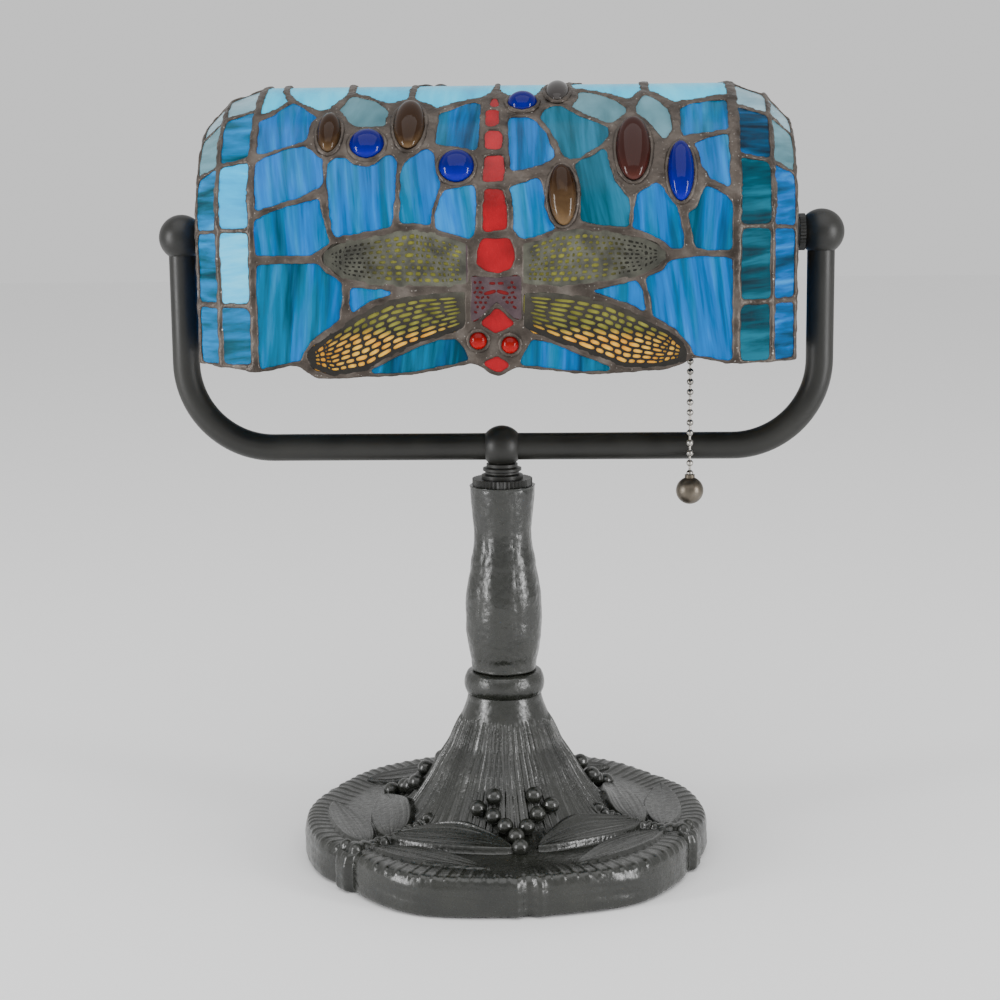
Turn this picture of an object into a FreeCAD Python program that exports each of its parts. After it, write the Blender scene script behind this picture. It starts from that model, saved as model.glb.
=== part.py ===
import FreeCAD, Part
import math
import os
import Sketcher
from FreeCAD import Matrix, Placement, Rotation, Vector

# Stained-glass table lamp: cast base and column, a yoke of two bent tubes, and a
# barrel-vault glass shade that tilts on the yoke.  Units are millimetres, +Z is up,
# the front is -Y and the origin is the middle of the underside.

doc = FreeCAD.newDocument("lamp")
sheet = doc.addObject("Spreadsheet::Sheet", "sizes")
sheet.Label = "Driving sizes"

SIZES = (
    # base casting
    ("base_radius", 91.5), ("base_foot", 0.8), ("base_wall_top", 15.0),
    ("base_plate_top", 18.0), ("base_recess", 85.6), ("base_inner_top", 13.6),
    ("trunk_top", 70.0), ("trunk_radius", 17.3), ("trunk_foot_radius", 46.0),
    ("trunk_foot_height", 20.3), ("trunk_seat", 60.0), ("collar_radius", 18.0),
    ("collar_top", 84.0), ("felt_radius", 84.0), ("felt_thickness", 1.6),
    ("cover_radius", 85.4), ("cover_thickness", 1.2), ("rim_notches", 60),
    ("trunk_flutes", 20), ("rod_clearance", 5.0), ("rod_radius", 4.9), ("wire_bore", 3.0),
    # column and neck
    ("column_top", 168.5), ("column_bore", 9.0), ("locknut_radius", 13.4),
    ("locknut_top", 171.5), ("neck_top", 178.0), ("neck_radius", 8.6),
    ("rod_bottom", 44.0), ("rod_top", 181.0),
    # yoke
    ("bar_height", 185.6), ("tee_radius", 9.4), ("tube_radius", 6.0), ("tube_bore", 4.6),
    ("tube_socket", 6.05), ("arm_start", 5.6), ("arm_bend", 38.0), ("arm_spread", 139.7),
    ("arm_top", 273.0), ("pivot_height", 279.0), ("ball_radius", 10.0), ("ball_face", 7.2),
    ("nipple_radius", 4.9), ("nipple_bore", 3.2), ("nipple_length", 26.0),
    ("washer_radius", 8.0), ("washer_thickness", 2.5), ("spacer_radius", 6.6),
    ("spacer_thickness", 3.0), ("friction_radius", 9.0), ("friction_thickness", 1.9),
    ("running_bore", 4.96), ("keeper_radius", 9.0), ("keeper_thickness", 2.0),
    ("nut_across", 14.0), ("nut_height", 4.0),
    # shade
    ("vault_radius", 64.7), ("vault_half", 99.0), ("ring_radius", 59.5), ("ring_half", 114.0),
    ("cap_radius", 48.5), ("cap_half", 125.0), ("came_depth", 3.2), ("glass_set", 0.8),
    ("glass_depth", 1.8), ("skirt_depth", 57.0), ("bush_radius", 10.0),
    ("bush_flange", 14.0), ("bush_flange_thickness", 1.5), ("jewel_rise", 4.6),
    ("jewel_back", 2.4), ("filigree_thickness", 0.8),
    # lamp holder, bulb and pull chain
    ("holder_radius", 17.0), ("holder_wall", 0.8), ("holder_end", 98.0), ("holder_mouth", 62.0),
    ("cap_end", 114.2), ("screw_radius", 13.2), ("screw_shell_radius", 13.35),
    ("bulb_radius", 24.0), ("bulb_tip", 80.0), ("chain_x", 82.5), ("bead_radius", 1.5),
    ("bead_pitch", 4.45), ("bead_count", 19),
    ("pull_ball_radius", 6.0), ("chain_link", 0.5), ("lead_radius", 1.3),
)
sizes = {}
for row, (alias, number) in enumerate(SIZES, start=1):
    sheet.set(f"A{row}", alias)
    sheet.set(f"B{row}", str(number))
    sheet.setAlias(f"B{row}", alias)
    sizes[alias] = float(number)
doc.recompute()

made = []       # (node name, document object) in build order


# ------------------------------------------------------------------ small helpers
def value(text):
    """Number meant by a sum such as 'pivot_height - 8'."""
    total = 0.0
    sign = 1.0
    for word in str(text).split():
        if word == "+":
            sign = 1.0
        elif word == "-":
            sign = -1.0
        else:
            total += sign * (sizes[word] if word in sizes else float(word))
            sign = 1.0
    return total


def formula(text):
    """The same sum as an expression on the sheet."""
    words = [f"sizes.{word}" if word in sizes else word for word in str(text).split()]
    return " ".join(words)


def keep(node, thing, label):
    """Name a finished sub-part and note it for export."""
    thing.Label = label
    made.append((node, thing))
    return thing


def place(thing, where, turn=None):
    """Bind a position to the sheet, with a fixed rotation."""
    if turn is not None:
        thing.Placement = Placement(Vector(0, 0, 0), turn)
    for axis, text in zip("xyz", where):
        if str(text) != "0":
            thing.setExpression(f"Placement.Base.{axis}", formula(text))


ALONG_X = Rotation(Vector(0, 1, 0), 90)
ALONG_MINUS_X = Rotation(Vector(0, 1, 0), -90)


def origin_plane(body, role):
    """One of the body's own datum planes."""
    return next(item for item in body.Origin.OriginFeatures if item.Role == role)


def outline_sketch(body, name, corners, role="XZ_Plane"):
    """Closed polygon whose corners are tied to the sheet."""
    sketch = body.newObject("Sketcher::SketchObject", name)
    sketch.AttachmentSupport = (origin_plane(body, role), [""])
    sketch.MapMode = "FlatFace"
    spots = [Vector(value(across), value(up), 0) for across, up in corners]
    count = len(spots)
    for index in range(count):
        sketch.addGeometry(Part.LineSegment(spots[index], spots[(index + 1) % count]), False)
    for index in range(count):
        follower = (index + 1) % count
        sketch.addConstraint(Sketcher.Constraint("Coincident", index, 2, follower, 1))
    for index, (across, up) in enumerate(corners):
        for kind, text, line in (("DistanceX", across, -2), ("DistanceY", up, -1)):
            if abs(value(text)) < 1e-9:
                sketch.addConstraint(Sketcher.Constraint("PointOnObject", index, 1, line))
            else:
                slot = sketch.addConstraint(Sketcher.Constraint(kind, index, 1, value(text)))
                sketch.setExpression(f"Constraints[{slot}]", formula(text))
    return sketch


def turned(node, label, corners, where=("0", "0", "0"), turn=None):
    """Body of revolution from (radius, height) corners."""
    body = doc.addObject("PartDesign::Body", node)
    sketch = outline_sketch(body, f"{node}_profile", corners)
    spin = body.newObject("PartDesign::Revolution", f"{node}_turn")
    spin.Profile = sketch
    spin.ReferenceAxis = (sketch, ["V_Axis"])
    spin.Angle = 360
    body.Tip = spin
    place(body, where, turn)
    return keep(node, body, label)


def padded(node, label, rings, height, where=("0", "0", "0"), turn=None):
    """Body padded from plain closed outlines; the first is the outside."""
    body = doc.addObject("PartDesign::Body", node)
    sketch = body.newObject("Sketcher::SketchObject", f"{node}_outline")
    sketch.AttachmentSupport = (origin_plane(body, "XY_Plane"), [""])
    sketch.MapMode = "FlatFace"
    for ring in rings:
        if isinstance(ring, str):
            circle = Part.Circle(Vector(0, 0, 0), Vector(0, 0, 1), value(ring))
            slot = sketch.addGeometry(circle, False)
            bound = sketch.addConstraint(Sketcher.Constraint("Radius", slot, value(ring)))
            sketch.setExpression(f"Constraints[{bound}]", formula(ring))
            continue
        for here, after in zip(ring, ring[1:] + ring[:1]):
            sketch.addGeometry(Part.LineSegment(here, after), False)
    pad = body.newObject("PartDesign::Pad", f"{node}_pad")
    pad.Profile = sketch
    pad.Length = value(height)
    pad.setExpression("Length", formula(height))
    body.Tip = pad
    place(body, where, turn)
    return keep(node, body, label)


def star(outer, inner, teeth):
    """Knurled outline: corners that step between two radii."""
    ring = []
    for index in range(2 * teeth):
        angle = math.pi * index / teeth
        radius = outer if index % 2 == 0 else inner
        ring.append(Vector(radius * math.cos(angle), radius * math.sin(angle), 0))
    return ring


def hexagon(across):
    """Hexagon outline for a nut of this width across flats."""
    reach = across / math.sqrt(3)
    angles = [math.radians(60 * index) for index in range(6)]
    return [Vector(reach * math.cos(angle), reach * math.sin(angle), 0) for angle in angles]


def plain(node, label, shape):
    """Finished solid whose shape is worked out from the sheet."""
    thing = doc.addObject("Part::Feature", node)
    thing.Shape = shape
    return keep(node, thing, label)


def cylinder(name, radius, height, where=("0", "0", "0"), turn=None):
    """Part cylinder with its sizes on the sheet."""
    thing = doc.addObject("Part::Cylinder", name)
    thing.Radius = value(radius)
    thing.Height = value(height)
    thing.setExpression("Radius", formula(radius))
    thing.setExpression("Height", formula(height))
    place(thing, where, turn)
    return thing


def ball(name, radius, where):
    """Part sphere with its size on the sheet."""
    thing = doc.addObject("Part::Sphere", name)
    thing.Radius = value(radius)
    thing.setExpression("Radius", formula(radius))
    place(thing, where)
    return thing


def joined(name, things):
    """Fusion of several document objects."""
    thing = doc.addObject("Part::MultiFuse", name)
    thing.Shapes = things
    return thing


def cut(node, label, solid, tool):
    """Boolean cut kept as a finished sub-part."""
    thing = doc.addObject("Part::Cut", node)
    thing.Base = solid
    thing.Tool = tool
    return keep(node, thing, label)


# ------------------------------------------------------------------ base
BASE_OUTSIDE = (
    ("base_recess", "base_foot"), ("base_radius - 1.2", "base_foot"),
    ("base_radius", "base_foot + 1.6"), ("base_radius", "base_wall_top"),
    ("base_radius - 1.4", "base_wall_top + 2.2"), ("base_radius - 4", "base_plate_top"),
    ("trunk_foot_radius + 12", "base_plate_top"), ("trunk_foot_radius", "trunk_foot_height"),
    ("38.2", "30.3"), ("30.4", "43.4"), ("28.2", "46"), ("24.8", "51"), ("22.3", "60"),
    ("20.7", "65"), ("trunk_radius", "trunk_top"),
)
BASE_INSIDE = (
    ("rod_clearance", "trunk_top"), ("rod_clearance", "trunk_seat"), ("17", "trunk_seat"),
    ("20", "51"), ("26", "41"), ("34", "28"), ("43", "15.6"), ("60", "base_inner_top"),
    ("base_recess", "base_inner_top"),
)


# berries of one cluster: (distance from the axis, sideways shift, height)
BERRY_SPOTS = (
    (37.0, -8.4, 33.5), (38.5, -15.6, 28.5), (42.5, -9.4, 26.0),
    (37.0, 8.4, 33.5), (38.5, 15.6, 28.5), (42.5, 9.4, 26.0),
    (47.0, -4.4, 22.5), (47.0, 4.4, 22.5), (52.0, 0.0, 20.6), (58.5, 0.6, 19.2),
)


def base_relief():
    """Beaded dragonflies and berry clusters standing on the base plate."""
    plate = value("base_plate_top")
    rim = value("base_radius")
    lumps = []
    for azimuth in (99, 219, 339):
        turn = math.radians(azimuth)
        for step in range(8):
            reach = 44 + 4.6 * step
            spot = Vector(reach * math.cos(turn), reach * math.sin(turn), plate + 0.4)
            lumps.append(Part.makeSphere(3.0, spot))
        head = Vector((rim - 5.6) * math.cos(turn), (rim - 5.6) * math.sin(turn), plate - 0.6)
        lumps.append(Part.makeSphere(4.4, head))
        for side in (-1, 1):
            for reach, splay in ((66, 62), (74, 100)):
                leaf = Part.makeSphere(1.0)
                squash = Matrix()
                squash.scale(15, 4.8, 2.2)
                leaf = leaf.transformGeometry(squash)
                leaf.translate(Vector(16.5, 0, 0))
                leaf.rotate(Vector(0, 0, 0), Vector(0, 0, 1), azimuth + side * splay)
                foot = Vector(reach * math.cos(turn), reach * math.sin(turn), plate + 0.2)
                leaf.translate(foot)
                lumps.append(leaf)
    for azimuth in (39, 159, 279):
        turn = math.radians(azimuth)
        along = Vector(math.cos(turn), math.sin(turn), 0)
        across = Vector(-math.sin(turn), math.cos(turn), 0)
        for reach, shift, level in BERRY_SPOTS:
            spot = along * reach + across * shift + Vector(0, 0, level)
            lumps.append(Part.makeSphere(3.6, spot))
    return lumps


base_body = doc.addObject("PartDesign::Body", "base_turning")
base_body.Label = "Base turning"
base_sketch = outline_sketch(base_body, "base_profile", BASE_OUTSIDE + BASE_INSIDE)
base_spin = base_body.newObject("PartDesign::Revolution", "base_turn")
base_spin.Profile = base_sketch
base_spin.ReferenceAxis = (base_sketch, ["V_Axis"])
base_spin.Angle = 360
base_body.Tip = base_spin
doc.recompute()

notches = []
for index in range(int(value("rim_notches"))):
    angle = 2 * math.pi * (index + 0.5) / value("rim_notches")
    reach = value("base_radius") + 0.9
    spot = Vector(reach * math.cos(angle), reach * math.sin(angle), 0)
    notches.append(Part.makeCylinder(1.5, 30, spot))
flutes = []
for index in range(int(value("trunk_flutes"))):
    angle = 2 * math.pi * index / value("trunk_flutes")
    top = Vector(24.9 * math.cos(angle), 24.9 * math.sin(angle), 56)
    foot = Vector(49 * math.cos(angle), 49 * math.sin(angle), 20)
    middle = Vector(33.2 * math.cos(angle), 33.2 * math.sin(angle), 41.4)
    flutes.append(Part.makeCylinder(1.9, (middle - top).Length, top, middle - top))
    flutes.append(Part.makeCylinder(2.3, (foot - middle).Length, middle, foot - middle))
base_shape = base_body.Shape.cut(notches + flutes)
base_shape = base_shape.fuse(base_relief())
inlet = Part.makeCylinder(5.05, 30, Vector(0, 70, 8), Vector(0, 1, 0))
base_shape = base_shape.cut(inlet)
plain("base_casting", "Cast base with trunk", base_shape)

turned("base_collar", "Trunk collar ring", (
    ("rod_clearance", "trunk_top"), ("trunk_radius - 1", "trunk_top"),
    ("collar_radius - 0.6", "trunk_top + 2"), ("collar_radius", "trunk_top + 4.6"),
    ("collar_radius", "trunk_top + 8.4"), ("collar_radius - 0.8", "trunk_top + 11.4"),
    ("collar_radius - 3", "collar_top"), ("rod_clearance", "collar_top")))
turned("base_felt", "Felt pad", (
    ("0", "0"), ("felt_radius", "0"), ("felt_radius", "felt_thickness"),
    ("0", "felt_thickness")))
turned("base_cover_plate", "Weight plate", (
    ("0", "felt_thickness"), ("cover_radius", "felt_thickness"),
    ("cover_radius", "felt_thickness + cover_thickness"),
    ("0", "felt_thickness + cover_thickness")))
turned("cord_bushing", "Cord inlet bushing", (
    ("3", "0"), ("5", "0"), ("5", "8.2"), ("4.2", "9"), ("3", "9")),
    where=("0", "base_radius - 9.6", "8"), turn=Rotation(Vector(1, 0, 0), -90))

# ------------------------------------------------------------------ rod, column, neck
turned("threaded_rod", "Hollow threaded rod", (
    ("wire_bore", "rod_bottom"), ("rod_radius", "rod_bottom"), ("rod_radius", "rod_top"),
    ("wire_bore", "rod_top")))
turned("rod_washer", "Rod washer", (
    ("rod_clearance", "trunk_seat - 2"), ("12", "trunk_seat - 2"), ("12", "trunk_seat"),
    ("rod_clearance", "trunk_seat")))
padded("rod_nut", "Rod nut", (hexagon(16), "rod_clearance"), "8",
       where=("0", "0", "trunk_seat - 10"))
COLUMN_OUTSIDE = (
    ("14.5", "collar_top"), ("14.5", "88.2"), ("15.6", "92.8"), ("16.9", "102"),
    ("17.1", "111.3"), ("16.9", "120.5"), ("15.9", "125.1"), ("15", "129.7"),
    ("14.6", "134.3"), ("13.4", "138.8"), ("13", "143.4"), ("12.7", "148"), ("13.2", "152.5"),
    ("14.1", "161.6"), ("14.4", "column_top"),
)
turned("column", "Cast column", COLUMN_OUTSIDE + (
    ("rod_clearance", "column_top"), ("rod_clearance", "column_top - 5"),
    ("column_bore", "column_top - 8"), ("column_bore", "collar_top + 8"),
    ("rod_clearance", "collar_top + 5"), ("rod_clearance", "collar_top")))
padded("column_locknut", "Knurled locknut",
       (star(value("locknut_radius"), value("locknut_radius") - 0.7, 44), "rod_clearance"),
       "locknut_top - column_top", where=("0", "0", "column_top"))
turned("neck_collar", "Ringed neck", (
    ("rod_clearance", "locknut_top"), ("neck_radius + 0.6", "locknut_top"),
    ("neck_radius + 0.6", "locknut_top + 1.6"), ("neck_radius - 1", "locknut_top + 2.2"),
    ("neck_radius - 1", "locknut_top + 3"), ("neck_radius", "locknut_top + 3.5"),
    ("neck_radius", "locknut_top + 4.6"), ("neck_radius - 1.6", "locknut_top + 5.2"),
    ("neck_radius - 1.6", "neck_top"), ("rod_clearance", "neck_top")))

# ------------------------------------------------------------------ yoke
tee = ball("tee_round", "tee_radius", ("0", "0", "bar_height"))
tee_foot = cylinder("tee_foot", "tee_radius + 2", "12", ("0", "0", "neck_top - 12"))
tee_rod = cylinder("tee_rod_hole", "rod_radius + 0.05", "rod_top - neck_top + 2",
                   ("0", "0", "neck_top - 2"))
tee_riser = cylinder("tee_wire_riser", "wire_bore", "bar_height - rod_top + 1",
                     ("0", "0", "rod_top - 1"))
tee_cross = cylinder("tee_wire_cross", "4", "arm_start + arm_start + 2",
                     ("-1 - arm_start", "0", "bar_height"), ALONG_X)
tee_right = cylinder("tee_right_socket", "tube_socket", "20", ("arm_start", "0", "bar_height"),
                     ALONG_X)
tee_left = cylinder("tee_left_socket", "tube_socket", "20", ("0 - arm_start", "0", "bar_height"),
                    ALONG_MINUS_X)
cut("tee_ball", "Tee ball", tee,
    joined("tee_cavities", [tee_foot, tee_rod, tee_riser, tee_cross, tee_right, tee_left]))


def bent_tube(name, radius, side):
    """Horizontal run, quarter bend and upright of one arm, as one solid."""
    along = ALONG_X if side > 0 else ALONG_MINUS_X
    sign = "" if side > 0 else "0 - "
    run = cylinder(f"{name}_run", radius, "arm_spread - arm_bend - arm_start",
                   (f"{sign}arm_start", "0", "bar_height"), along)
    riser = cylinder(f"{name}_riser", radius, "arm_top - bar_height - arm_bend",
                     (f"{sign}arm_spread", "0", "bar_height + arm_bend"))
    bend = doc.addObject("Part::Torus", f"{name}_bend")
    bend.setExpression("Radius1", formula("arm_bend"))
    bend.setExpression("Radius2", formula(radius))
    bend.Angle3 = 90
    twist = Rotation(Vector(1, 0, 0), 90)
    quarter = Rotation(Vector(0, 1, 0), 90 if side > 0 else 180)
    bend_x = "arm_spread - arm_bend" if side > 0 else "arm_bend - arm_spread"
    place(bend, (bend_x, "0", "bar_height + arm_bend"), quarter.multiply(twist))
    return joined(name, [run, bend, riser])


for side, word in ((-1, "left"), (1, "right")):
    sign = "" if side > 0 else "0 - "
    inward = ALONG_MINUS_X if side > 0 else ALONG_X
    cut(f"{word}_arm", f"{word.capitalize()} yoke arm",
        bent_tube(f"{word}_arm_outside", "tube_radius", side),
        bent_tube(f"{word}_arm_bore", "tube_bore", side))
    knob = ball(f"{word}_ball_round", "ball_radius", (f"{sign}arm_spread", "0", "pivot_height"))
    seat = cylinder(f"{word}_ball_seat", "tube_socket", "20",
                    (f"{sign}arm_spread", "0", "arm_top - 20"))
    rise = cylinder(f"{word}_ball_rise", "4", "pivot_height - arm_top + 3",
                    (f"{sign}arm_spread", "0", "arm_top - 1"))
    face_x = "arm_spread - ball_face" if side > 0 else "ball_face - arm_spread"
    face = cylinder(f"{word}_ball_face_cut", "ball_radius + 2", "12",
                    (face_x, "0", "pivot_height"), inward)
    bore_x = "arm_spread - 1" if side > 0 else "1 - arm_spread"
    bore = cylinder(f"{word}_ball_bore", "nipple_radius + 0.05", "20",
                    (bore_x, "0", "pivot_height"), inward)
    cut(f"{word}_end_ball", f"{word.capitalize()} end ball", knob,
        joined(f"{word}_ball_cavities", [seat, rise, face, bore]))
    start = "arm_spread - 5.1" if side > 0 else "5.1 - arm_spread"
    turned(f"{word}_pivot_nipple", f"{word.capitalize()} pivot nipple", (
        ("nipple_bore", "0"), ("nipple_radius", "0"), ("nipple_radius", "nipple_length"),
        ("nipple_bore", "nipple_length")), where=(start, "0", "pivot_height"), turn=inward)
    face_stack = "ball_face"
    position = f"arm_spread - {face_stack}" if side > 0 else f"{face_stack} - arm_spread"
    padded(f"{word}_knurled_washer", f"{word.capitalize()} knurled washer",
           (star(value("washer_radius"), value("washer_radius") - 0.6, 30), "nipple_radius + 0.1"),
           "washer_thickness", where=(position, "0", "pivot_height"), turn=inward)
    position = ("arm_spread - ball_face - washer_thickness" if side > 0
                else "ball_face + washer_thickness - arm_spread")
    turned(f"{word}_spacer", f"{word.capitalize()} spacer", (
        ("nipple_radius + 0.1", "0"), ("spacer_radius", "0"),
        ("spacer_radius", "spacer_thickness"), ("nipple_radius + 0.1", "spacer_thickness")),
        where=(position, "0", "pivot_height"), turn=inward)
    position = ("arm_spread - ball_face - washer_thickness - spacer_thickness" if side > 0
                else "ball_face + washer_thickness + spacer_thickness - arm_spread")
    turned(f"{word}_friction_washer", f"{word.capitalize()} friction washer", (
        ("nipple_radius + 0.1", "0"), ("friction_radius", "0"),
        ("friction_radius", "friction_thickness"), ("nipple_radius + 0.1", "friction_thickness")),
        where=(position, "0", "pivot_height"), turn=inward)
    keeper = "cap_half - came_depth - bush_flange_thickness - 0.1"
    position = keeper if side > 0 else "came_depth + bush_flange_thickness + 0.1 - cap_half"
    turned(f"{word}_keeper_washer", f"{word.capitalize()} keeper washer", (
        ("nipple_radius + 0.1", "0"), ("keeper_radius", "0"),
        ("keeper_radius", "keeper_thickness"), ("nipple_radius + 0.1", "keeper_thickness")),
        where=(position, "0", "pivot_height"), turn=inward)
    position = (f"{keeper} - keeper_thickness" if side > 0
                else "came_depth + bush_flange_thickness + keeper_thickness + 0.1 - cap_half")
    padded(f"{word}_keeper_nut", f"{word.capitalize()} keeper nut",
           (hexagon(value("nut_across")), "nipple_radius + 0.1"), "nut_height",
           where=(position, "0", "pivot_height"), turn=inward)
    position = "cap_half" if side > 0 else "0 - cap_half"
    turned(f"{word}_shade_bush", f"{word.capitalize()} shade bush", (
        ("running_bore", "0"), ("bush_radius - 0.05", "0"), ("bush_radius - 0.05", "came_depth"),
        ("bush_flange", "came_depth"), ("bush_flange", "came_depth + bush_flange_thickness"),
        ("running_bore", "came_depth + bush_flange_thickness")),
        where=(position, "0", "pivot_height"), turn=inward)


PAIRS = (
    ("pivot_nipple", "pivot_nipples", "Pivot nipples"),
    ("knurled_washer", "knurled_washers", "Knurled washers"),
    ("spacer", "pivot_spacers", "Pivot spacers"),
    ("friction_washer", "friction_washers", "Friction washers"),
    ("keeper_washer", "keeper_washers", "Keeper washers"),
    ("keeper_nut", "keeper_nuts", "Keeper nuts"),
    ("shade_bush", "shade_bushes", "Shade bushes"),
)
for single, node, label in PAIRS:
    halves = [entry for entry in made if entry[0] in (f"left_{single}", f"right_{single}")]
    both = doc.addObject("Part::Compound", node)
    both.Links = [thing for name, thing in halves]
    made = [entry for entry in made if entry not in halves]
    keep(node, both, label)

# ------------------------------------------------------------------ lamp holder and bulb
HOLDER = ("0", "0", "pivot_height")     # turned parts below are laid along +X
turned("holder_cap", "Lamp holder cap", (
    ("nipple_radius + 0.05", "cap_end - 5"), ("nipple_radius + 0.05", "cap_end"),
    ("7.4", "cap_end"), ("7.4", "cap_end - 4"), ("12", "cap_end - 7"), ("15.6", "cap_end - 11"),
    ("holder_radius", "holder_end"), ("holder_radius - 1", "holder_end"),
    ("14.6", "cap_end - 11.4"), ("11", "cap_end - 8"), ("6", "cap_end - 5")),
    where=HOLDER, turn=ALONG_X)
shell = turned("holder_shell_turning", "Holder shell turning", (
    ("holder_radius - holder_wall", "holder_mouth"), ("holder_radius", "holder_mouth"),
    ("holder_radius", "holder_end"), ("holder_radius - holder_wall", "holder_end")),
    where=HOLDER, turn=ALONG_X)
made.pop()
chain_hole = cylinder("holder_chain_hole", "4.2", "40", ("chain_x", "0", "pivot_height"),
                      Rotation(Vector(1, 0, 0), 180 - math.degrees(math.asin(0.6))))
cut("holder_shell", "Lamp holder shell", shell, chain_hole)
turned("holder_liner", "Insulating liner", (
    ("14.6", "holder_mouth + 1"), ("15.9", "holder_mouth + 1"), ("15.9", "holder_mouth + 16"),
    ("14.6", "holder_mouth + 16")), where=HOLDER, turn=ALONG_X)
turned("holder_screw_shell", "Threaded lamp shell", (
    ("screw_shell_radius", "holder_mouth + 2"), ("screw_shell_radius + 0.4", "holder_mouth + 2"),
    ("screw_shell_radius + 0.4", "bulb_tip + 2.4"), ("4.5", "bulb_tip + 2.4"),
    ("4.5", "bulb_tip + 2"), ("screw_shell_radius", "bulb_tip + 2")),
    where=HOLDER, turn=ALONG_X)
turned("switch_body", "Switch body", (
    ("0", "bulb_tip + 2.6"), ("13.6", "bulb_tip + 2.6"), ("13.6", "holder_end - 1"),
    ("0", "holder_end - 1")), where=HOLDER, turn=ALONG_X)
turned("center_contact", "Centre contact", (
    ("0", "bulb_tip + 0.2"), ("3", "bulb_tip + 0.2"), ("3", "bulb_tip + 2.6"),
    ("0", "bulb_tip + 2.6")), where=HOLDER, turn=ALONG_X)
turned("bulb_screw_base", "Bulb screw base", (
    ("0", "bulb_tip"), ("4.6", "bulb_tip"), ("6", "bulb_tip - 1.6"),
    ("screw_radius - 0.8", "bulb_tip - 4"), ("screw_radius", "bulb_tip - 6"),
    ("screw_radius", "bulb_tip - 24"), ("12", "bulb_tip - 24"), ("12", "bulb_tip - 6"),
    ("0", "bulb_tip - 3.4")), where=HOLDER, turn=ALONG_X)
turned("bulb_glass", "Bulb glass", (
    ("11.9", "bulb_tip - 20"), ("11.9", "bulb_tip - 25"), ("13.4", "bulb_tip - 32"),
    ("18.4", "bulb_tip - 47"), ("22.6", "bulb_tip - 60"), ("bulb_radius", "bulb_tip - 71"),
    ("23.2", "bulb_tip - 81"), ("19.8", "bulb_tip - 90"), ("13", "bulb_tip - 96.6"),
    ("6", "bulb_tip - 99.4"), ("0", "bulb_tip - 100"), ("0", "bulb_tip - 99"),
    ("5.8", "bulb_tip - 98.4"), ("12.5", "bulb_tip - 95.7"), ("19", "bulb_tip - 89.3"),
    ("22.2", "bulb_tip - 80.6"), ("23", "bulb_tip - 71"), ("21.6", "bulb_tip - 60"),
    ("17.5", "bulb_tip - 47.4"), ("12.4", "bulb_tip - 32"), ("10.9", "bulb_tip - 25"),
    ("10.9", "bulb_tip - 20")), where=HOLDER, turn=ALONG_X)
turned("bulb_stem", "Bulb stem and support", (
    ("0", "bulb_tip - 19"), ("10.8", "bulb_tip - 19"), ("10.8", "bulb_tip - 21"),
    ("4", "bulb_tip - 25"), ("3", "bulb_tip - 44"), ("0.8", "bulb_tip - 47"),
    ("0.8", "bulb_tip - 62"), ("0", "bulb_tip - 62")), where=HOLDER, turn=ALONG_X)
filament_ring = Part.makeTorus(8, 0.5, Vector(value("bulb_tip - 62.8"), 0, value("pivot_height")),
                               Vector(1, 0, 0))
plain("bulb_filament", "Filament", filament_ring)

# ------------------------------------------------------------------ pull chain
outlet_axis = Vector(0, -0.6, -0.8)
outlet_seat = Vector(value("chain_x"), 0, value("pivot_height")) + outlet_axis * 16.0
outlet = Part.makeCylinder(4.1, 4.6, outlet_seat, outlet_axis)
outlet = outlet.fuse(Part.makeCone(4.1, 5.2, 2.4, outlet_seat + outlet_axis * 4.6, outlet_axis))
outlet = outlet.cut(Part.makeCylinder(2.6, 30, outlet_seat - outlet_axis * 2, outlet_axis))
plain("chain_outlet", "Chain outlet bell", outlet.removeSplitter())

knee = outlet_seat + outlet_axis * 8.6
pull_rod = Part.makeCylinder(0.8, 12, outlet_seat - outlet_axis * 2.2, outlet_axis)
pull_eye = Part.makeSphere(2.0, knee)
pull_pin = Part.makeCylinder(0.6, 4.8, knee - Vector(2.4, 0, 0), Vector(1, 0, 0))
plain("pull_coupling", "Switch pull coupling",
      pull_rod.fuse([pull_eye, pull_pin]).removeSplitter())

hang_top = Vector(value("chain_x"), knee.y, knee.z - 2.2 - value("bead_radius"))
beads = []
for index in range(int(value("bead_count"))):
    spot = hang_top - Vector(0, 0, index * value("bead_pitch"))
    beads.append(Part.makeSphere(value("bead_radius"), spot))
chain_drop = (value("bead_count") - 1) * value("bead_pitch")
chain_wire = Part.makeCylinder(value("chain_link"), chain_drop, hang_top, Vector(0, 0, -1))
plain("pull_chain", "Bead chain", chain_wire.fuse(beads).removeSplitter())
ball_middle = hang_top - Vector(0, 0, chain_drop + value("bead_radius + pull_ball_radius") + 0.1)
pull_ball = Part.makeSphere(value("pull_ball_radius"), ball_middle)
ferrule = Part.makeCylinder(2.2, 2.2, ball_middle + Vector(0, 0, 4.8))
ferrule = ferrule.cut(Part.makeSphere(value("bead_radius") + 0.02,
                                      hang_top - Vector(0, 0, chain_drop)))
plain("pull_ball", "Pull ball", pull_ball.fuse(ferrule).removeSplitter())

# ------------------------------------------------------------------ supply lead
# Runs from the inlet bushing, up the rod, along the right arm and into the holder.
lead_low = 9.0
corner_low = 12.0
bar = value("bar_height")
spread = value("arm_spread")
pivot = value("pivot_height")
bend = value("arm_bend")


def quarter_bend(start, middle, end):
    """Arc through three points."""
    return Part.Arc(start, middle, end).toShape()


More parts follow.
